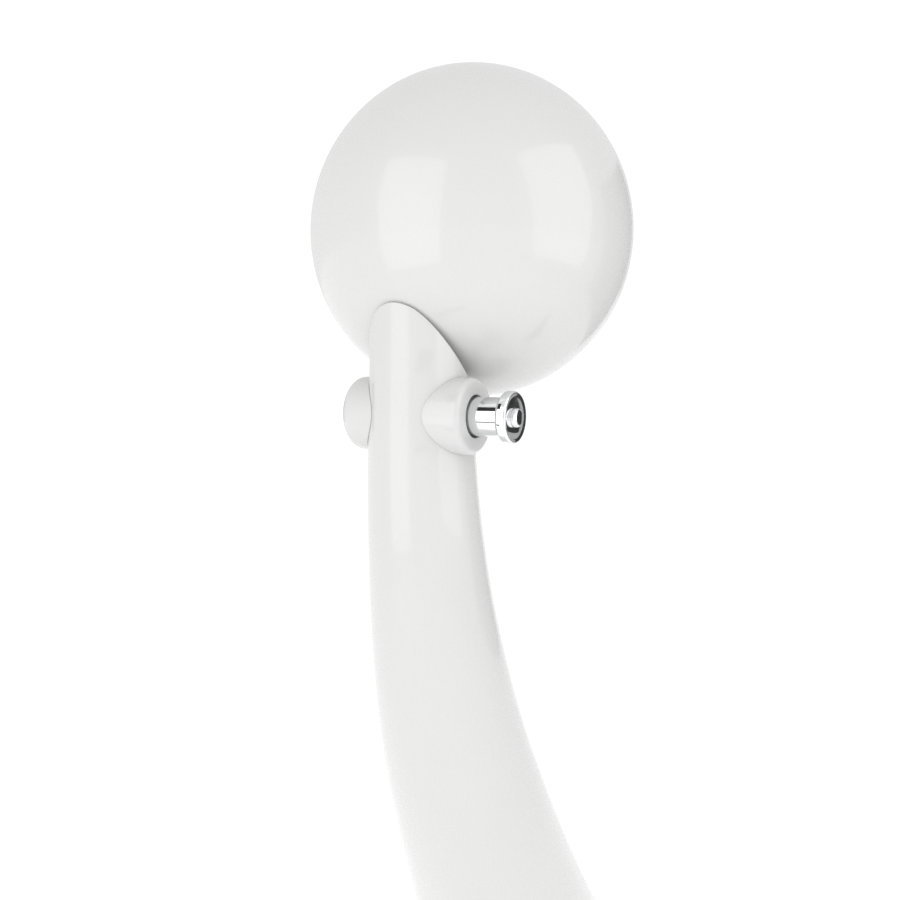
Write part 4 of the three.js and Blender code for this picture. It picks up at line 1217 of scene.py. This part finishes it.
@dataclass
class Studio:
    """Pale floor, white surround, two soft boxes, four dark flags, a grey panel and the camera.

    Attributes:
        setting: the lamp's main points.
        eye_offset: the camera, counted from the pivot.
        look: the camera's direction.
        lens: focal length in millimetres.
        surround: strength of the white surround as light.
        backdrop: its strength where the camera sees it.
        floor_reach: half the floor's side.
        floor_glow: the floor's own light.
        box_distance: distance of the soft boxes from the ball's centre.
        flag_reach: longest reflected ray that sees a flag.
        panel_distance: distance of the grey panel from the ball's centre.
        panel_azimuth: its direction, degrees right of the camera.
    """

    setting: Setting
    eye_offset: Triple = (-0.58215, -0.36639, 0.03915)
    look: Triple = (0.8633, 0.4946, -0.1011)
    lens: float = 32.0
    surround: float = 0.86
    backdrop: float = 1.05
    floor_reach: float = 60.0
    floor_glow: float = 0.36
    box_distance: float = 2.0
    flag_reach: float = 80 * MM
    panel_distance: float = 2.2
    panel_azimuth: float = 122.0

    def camera(self) -> None:
        """Places the camera behind and to the right of the head, a little above the pivot."""
        data = bpy.data.cameras.new("eye")
        data.lens = self.lens
        data.clip_start = 0.01
        eye = bpy.data.objects.new("eye", data)
        bpy.context.scene.collection.objects.link(eye)
        eye.location = Vector(self.setting.pivot + np.array(self.eye_offset))
        eye.rotation_euler = Vector(self.look).to_track_quat("-Z", "Y").to_euler()
        bpy.context.scene.camera = eye

    def surroundings(self) -> None:
        """A white world: the plain backdrop at full white, a little less as light."""
        world = bpy.data.worlds.new("surround")
        world.use_nodes = True
        tree = world.node_tree
        background = tree.nodes["Background"]
        background.inputs["Color"].default_value = (1.0, 1.0, 1.0, 1.0)
        path = tree.nodes.new("ShaderNodeLightPath")
        level = tree.nodes.new("ShaderNodeMapRange")
        level.inputs["To Min"].default_value = self.surround
        level.inputs["To Max"].default_value = self.backdrop
        tree.links.new(path.outputs["Is Camera Ray"], level.inputs["Value"])
        tree.links.new(level.outputs["Result"], background.inputs["Strength"])
        bpy.context.scene.world = world

    def sheet(self, name: str, corners: Points, finish: bpy.types.Material) -> bpy.types.Object:
        """A flat four-cornered stage object."""
        mesh = bpy.data.meshes.new(name)
        mesh.from_pydata(corners, [], [(0, 1, 2, 3)])
        made = bpy.data.objects.new(name, mesh)
        bpy.context.scene.collection.objects.link(made)
        mesh.materials.append(finish)
        return made

    def floor(self) -> None:
        """A wide pale floor with a trace of its own light, so it meets the surround unseen."""
        recipe = Recipe("pale_floor")
        mottle = recipe.noise(recipe.spot(), 3.0, 4.0)
        recipe.surface(Base_Color=recipe.tint(mottle, (0.84, 0.84, 0.84), (0.87, 0.87, 0.87)),
                       Roughness=0.7, Emission_Color=(1.0, 1.0, 1.0, 1.0),
                       Emission_Strength=self.floor_glow)
        corners = self.floor_reach * np.array([[-1, -1, 0], [1, -1, 0], [1, 1, 0], [-1, 1, 0]], float)
        self.sheet("floor", corners, recipe.material)

    def toward(self, azimuth: float, elevation: float) -> Points:
        """A direction from the ball, by degrees right of the camera and above the horizon."""
        back = -np.array(self.look) * np.array([1.0, 1.0, 0.0])
        back /= np.linalg.norm(back)
        right = np.cross([0.0, 0.0, 1.0], back)
        a, e = np.radians(azimuth), np.radians(elevation)
        return np.cos(e) * (np.cos(a) * back + np.sin(a) * right) + np.array([0.0, 0.0, np.sin(e)])

    def soft_box(self, name: str, azimuth: tuple[float, float], elevation: tuple[float, float],
                 radiance: float) -> None:
        """A rectangular light that spans a range of directions seen from the ball.

        Its width is 2 D tan(half the azimuth span), its height the same with the elevation, and
        its power is radiance * pi * area.

        Args:
            name: the light's name.
            azimuth: first and last direction, degrees right of the camera.
            elevation: lowest and highest direction in degrees.
            radiance: brightness of its face.
        """
        span_a, span_e = (np.radians(np.diff(v)[0]) / 2 for v in (azimuth, elevation))
        way = self.toward(float(np.mean(azimuth)), float(np.mean(elevation)))
        data = bpy.data.lights.new(name, "AREA")
        data.shape = "RECTANGLE"
        data.size = float(2 * self.box_distance * np.tan(span_a))
        data.size_y = float(2 * self.box_distance * np.tan(span_e))
        data.energy = float(radiance * np.pi * data.size * data.size_y)
        light = bpy.data.objects.new(name, data)
        bpy.context.scene.collection.objects.link(light)
        light.location = Vector(self.setting.ball_centre + self.box_distance * way)
        light.rotation_euler = Vector(-way).to_track_quat("-Z", "Y").to_euler()
        light.visible_camera = False

    def flag(self, name: str, centre: Triple, across: Triple, upward: Triple) -> None:
        """A small black card close to the chrome, as a studio flags polished metal.

        It is black to a reflected ray that has come less than its reach and clear to any other,
        so it shows in the metal beside it and not in the ball.

        Args:
            name: the card's name.
            centre: its middle, counted from the pivot.
            across: from its middle to the middle of one side.
            upward: from its middle to the middle of its top.
        """
        recipe = Recipe(name + "_black")
        weave = recipe.noise(recipe.spot(), 400.0, 2.0)
        recipe.surface(Base_Color=recipe.tint(weave, (0.020, 0.020, 0.021), (0.055, 0.055, 0.056)),
                       Roughness=0.95, Specular_IOR_Level=0.0)
        path = recipe.node("ShaderNodeLightPath", {})
        near = recipe.node("ShaderNodeMath", {0: path.outputs["Ray Length"], 1: self.flag_reach},
                           operation="LESS_THAN").outputs[0]
        clear = recipe.node("ShaderNodeBsdfTransparent", {}).outputs[0]
        either = recipe.node("ShaderNodeMixShader", {0: near, 1: clear, 2: recipe.shader.outputs[0]})
        recipe.feed(recipe.tree.nodes["Material Output"].inputs["Surface"], either.outputs[0])
        middle, side, top = (np.array(v) * MM for v in (centre, across, upward))
        corners = np.array([-side - top, side - top, side + top, -side + top]) + middle + self.setting.pivot
        card = self.sheet(name, corners, recipe.material)
        card.visible_camera = False
        card.visible_diffuse = False
        card.visible_shadow = False

    def grey_panel(self) -> None:
        """A tall grey panel on the camera's right that gives the white lamp its darker side."""
        recipe = Recipe("grey_panel")
        weave = recipe.noise(recipe.spot(), 60.0, 3.0)
        recipe.surface(Base_Color=recipe.tint(weave, (0.34, 0.34, 0.34), (0.40, 0.40, 0.40)),
                       Roughness=0.95, Specular_IOR_Level=0.0)
        way, height = self.toward(self.panel_azimuth, 0.0), np.array([0.0, 0.0, 1.0])
        side = np.cross(height, way)
        middle = self.setting.ball_centre + self.panel_distance * way
        corners = np.array([-side - height, side - height, side + height, -side + height]) + middle
        panel = self.sheet("grey_panel", corners, recipe.material)
        panel.visible_camera = False
        panel.visible_shadow = False

    def build(self) -> None:
        """Sets the whole studio up."""
        self.camera()
        self.surroundings()
        self.floor()
        self.soft_box("soft_box_left", (-64, -21), (-24, 41), 1.35)
        self.soft_box("soft_box_right", (38, 84), (-17, 46), 1.25)
        self.flag("flag_over_barrel", (-47, -47, 46), (0, 20, 0), (9, 0, 9))
        self.flag("flag_under_barrel", (-59, -47, -28), (0, 20, 0), (1, 0, -2))
        self.flag("flag_before_knob", (50, -148.5, 11), (0, 34, 0), (0, 0, 26))
        self.grey_panel()
        self.flag("flag_beside_cap", (-30, 100, 5), (22, 0, 0), (0, 0, 22))
        scene = bpy.context.scene
        scene.view_settings.view_transform = "Standard"
        scene.view_settings.look = "None"


# ------------------------------------------------------------------ assembly


def main() -> None:
    """Builds the lamp from the head down, then the studio."""
    logging.basicConfig(level=logging.INFO, format="%(name)s %(message)s")
    setting = Setting()
    lacquer, steel, bakelite = GlossLacquer(), ZincSteel(), Bakelite()
    enamel = GlossLacquer(name="gloss_white_enamel", slot=Slot.ENAMEL, peel_per_metre=220.0)
    cable = CableSheath()
    BallHead(setting).build(lacquer, steel, bakelite, OpalGlass(), cable)
    Clamp(setting).build(steel, BrownFibre())
    Arm(setting).build(lacquer, enamel, steel, cable)
    Base().build(enamel, steel, CastIron(), BlackRubber(), bakelite, GlazedCeramic(), cable)
    Studio(setting).build()


if __name__ == "__main__":
    main()
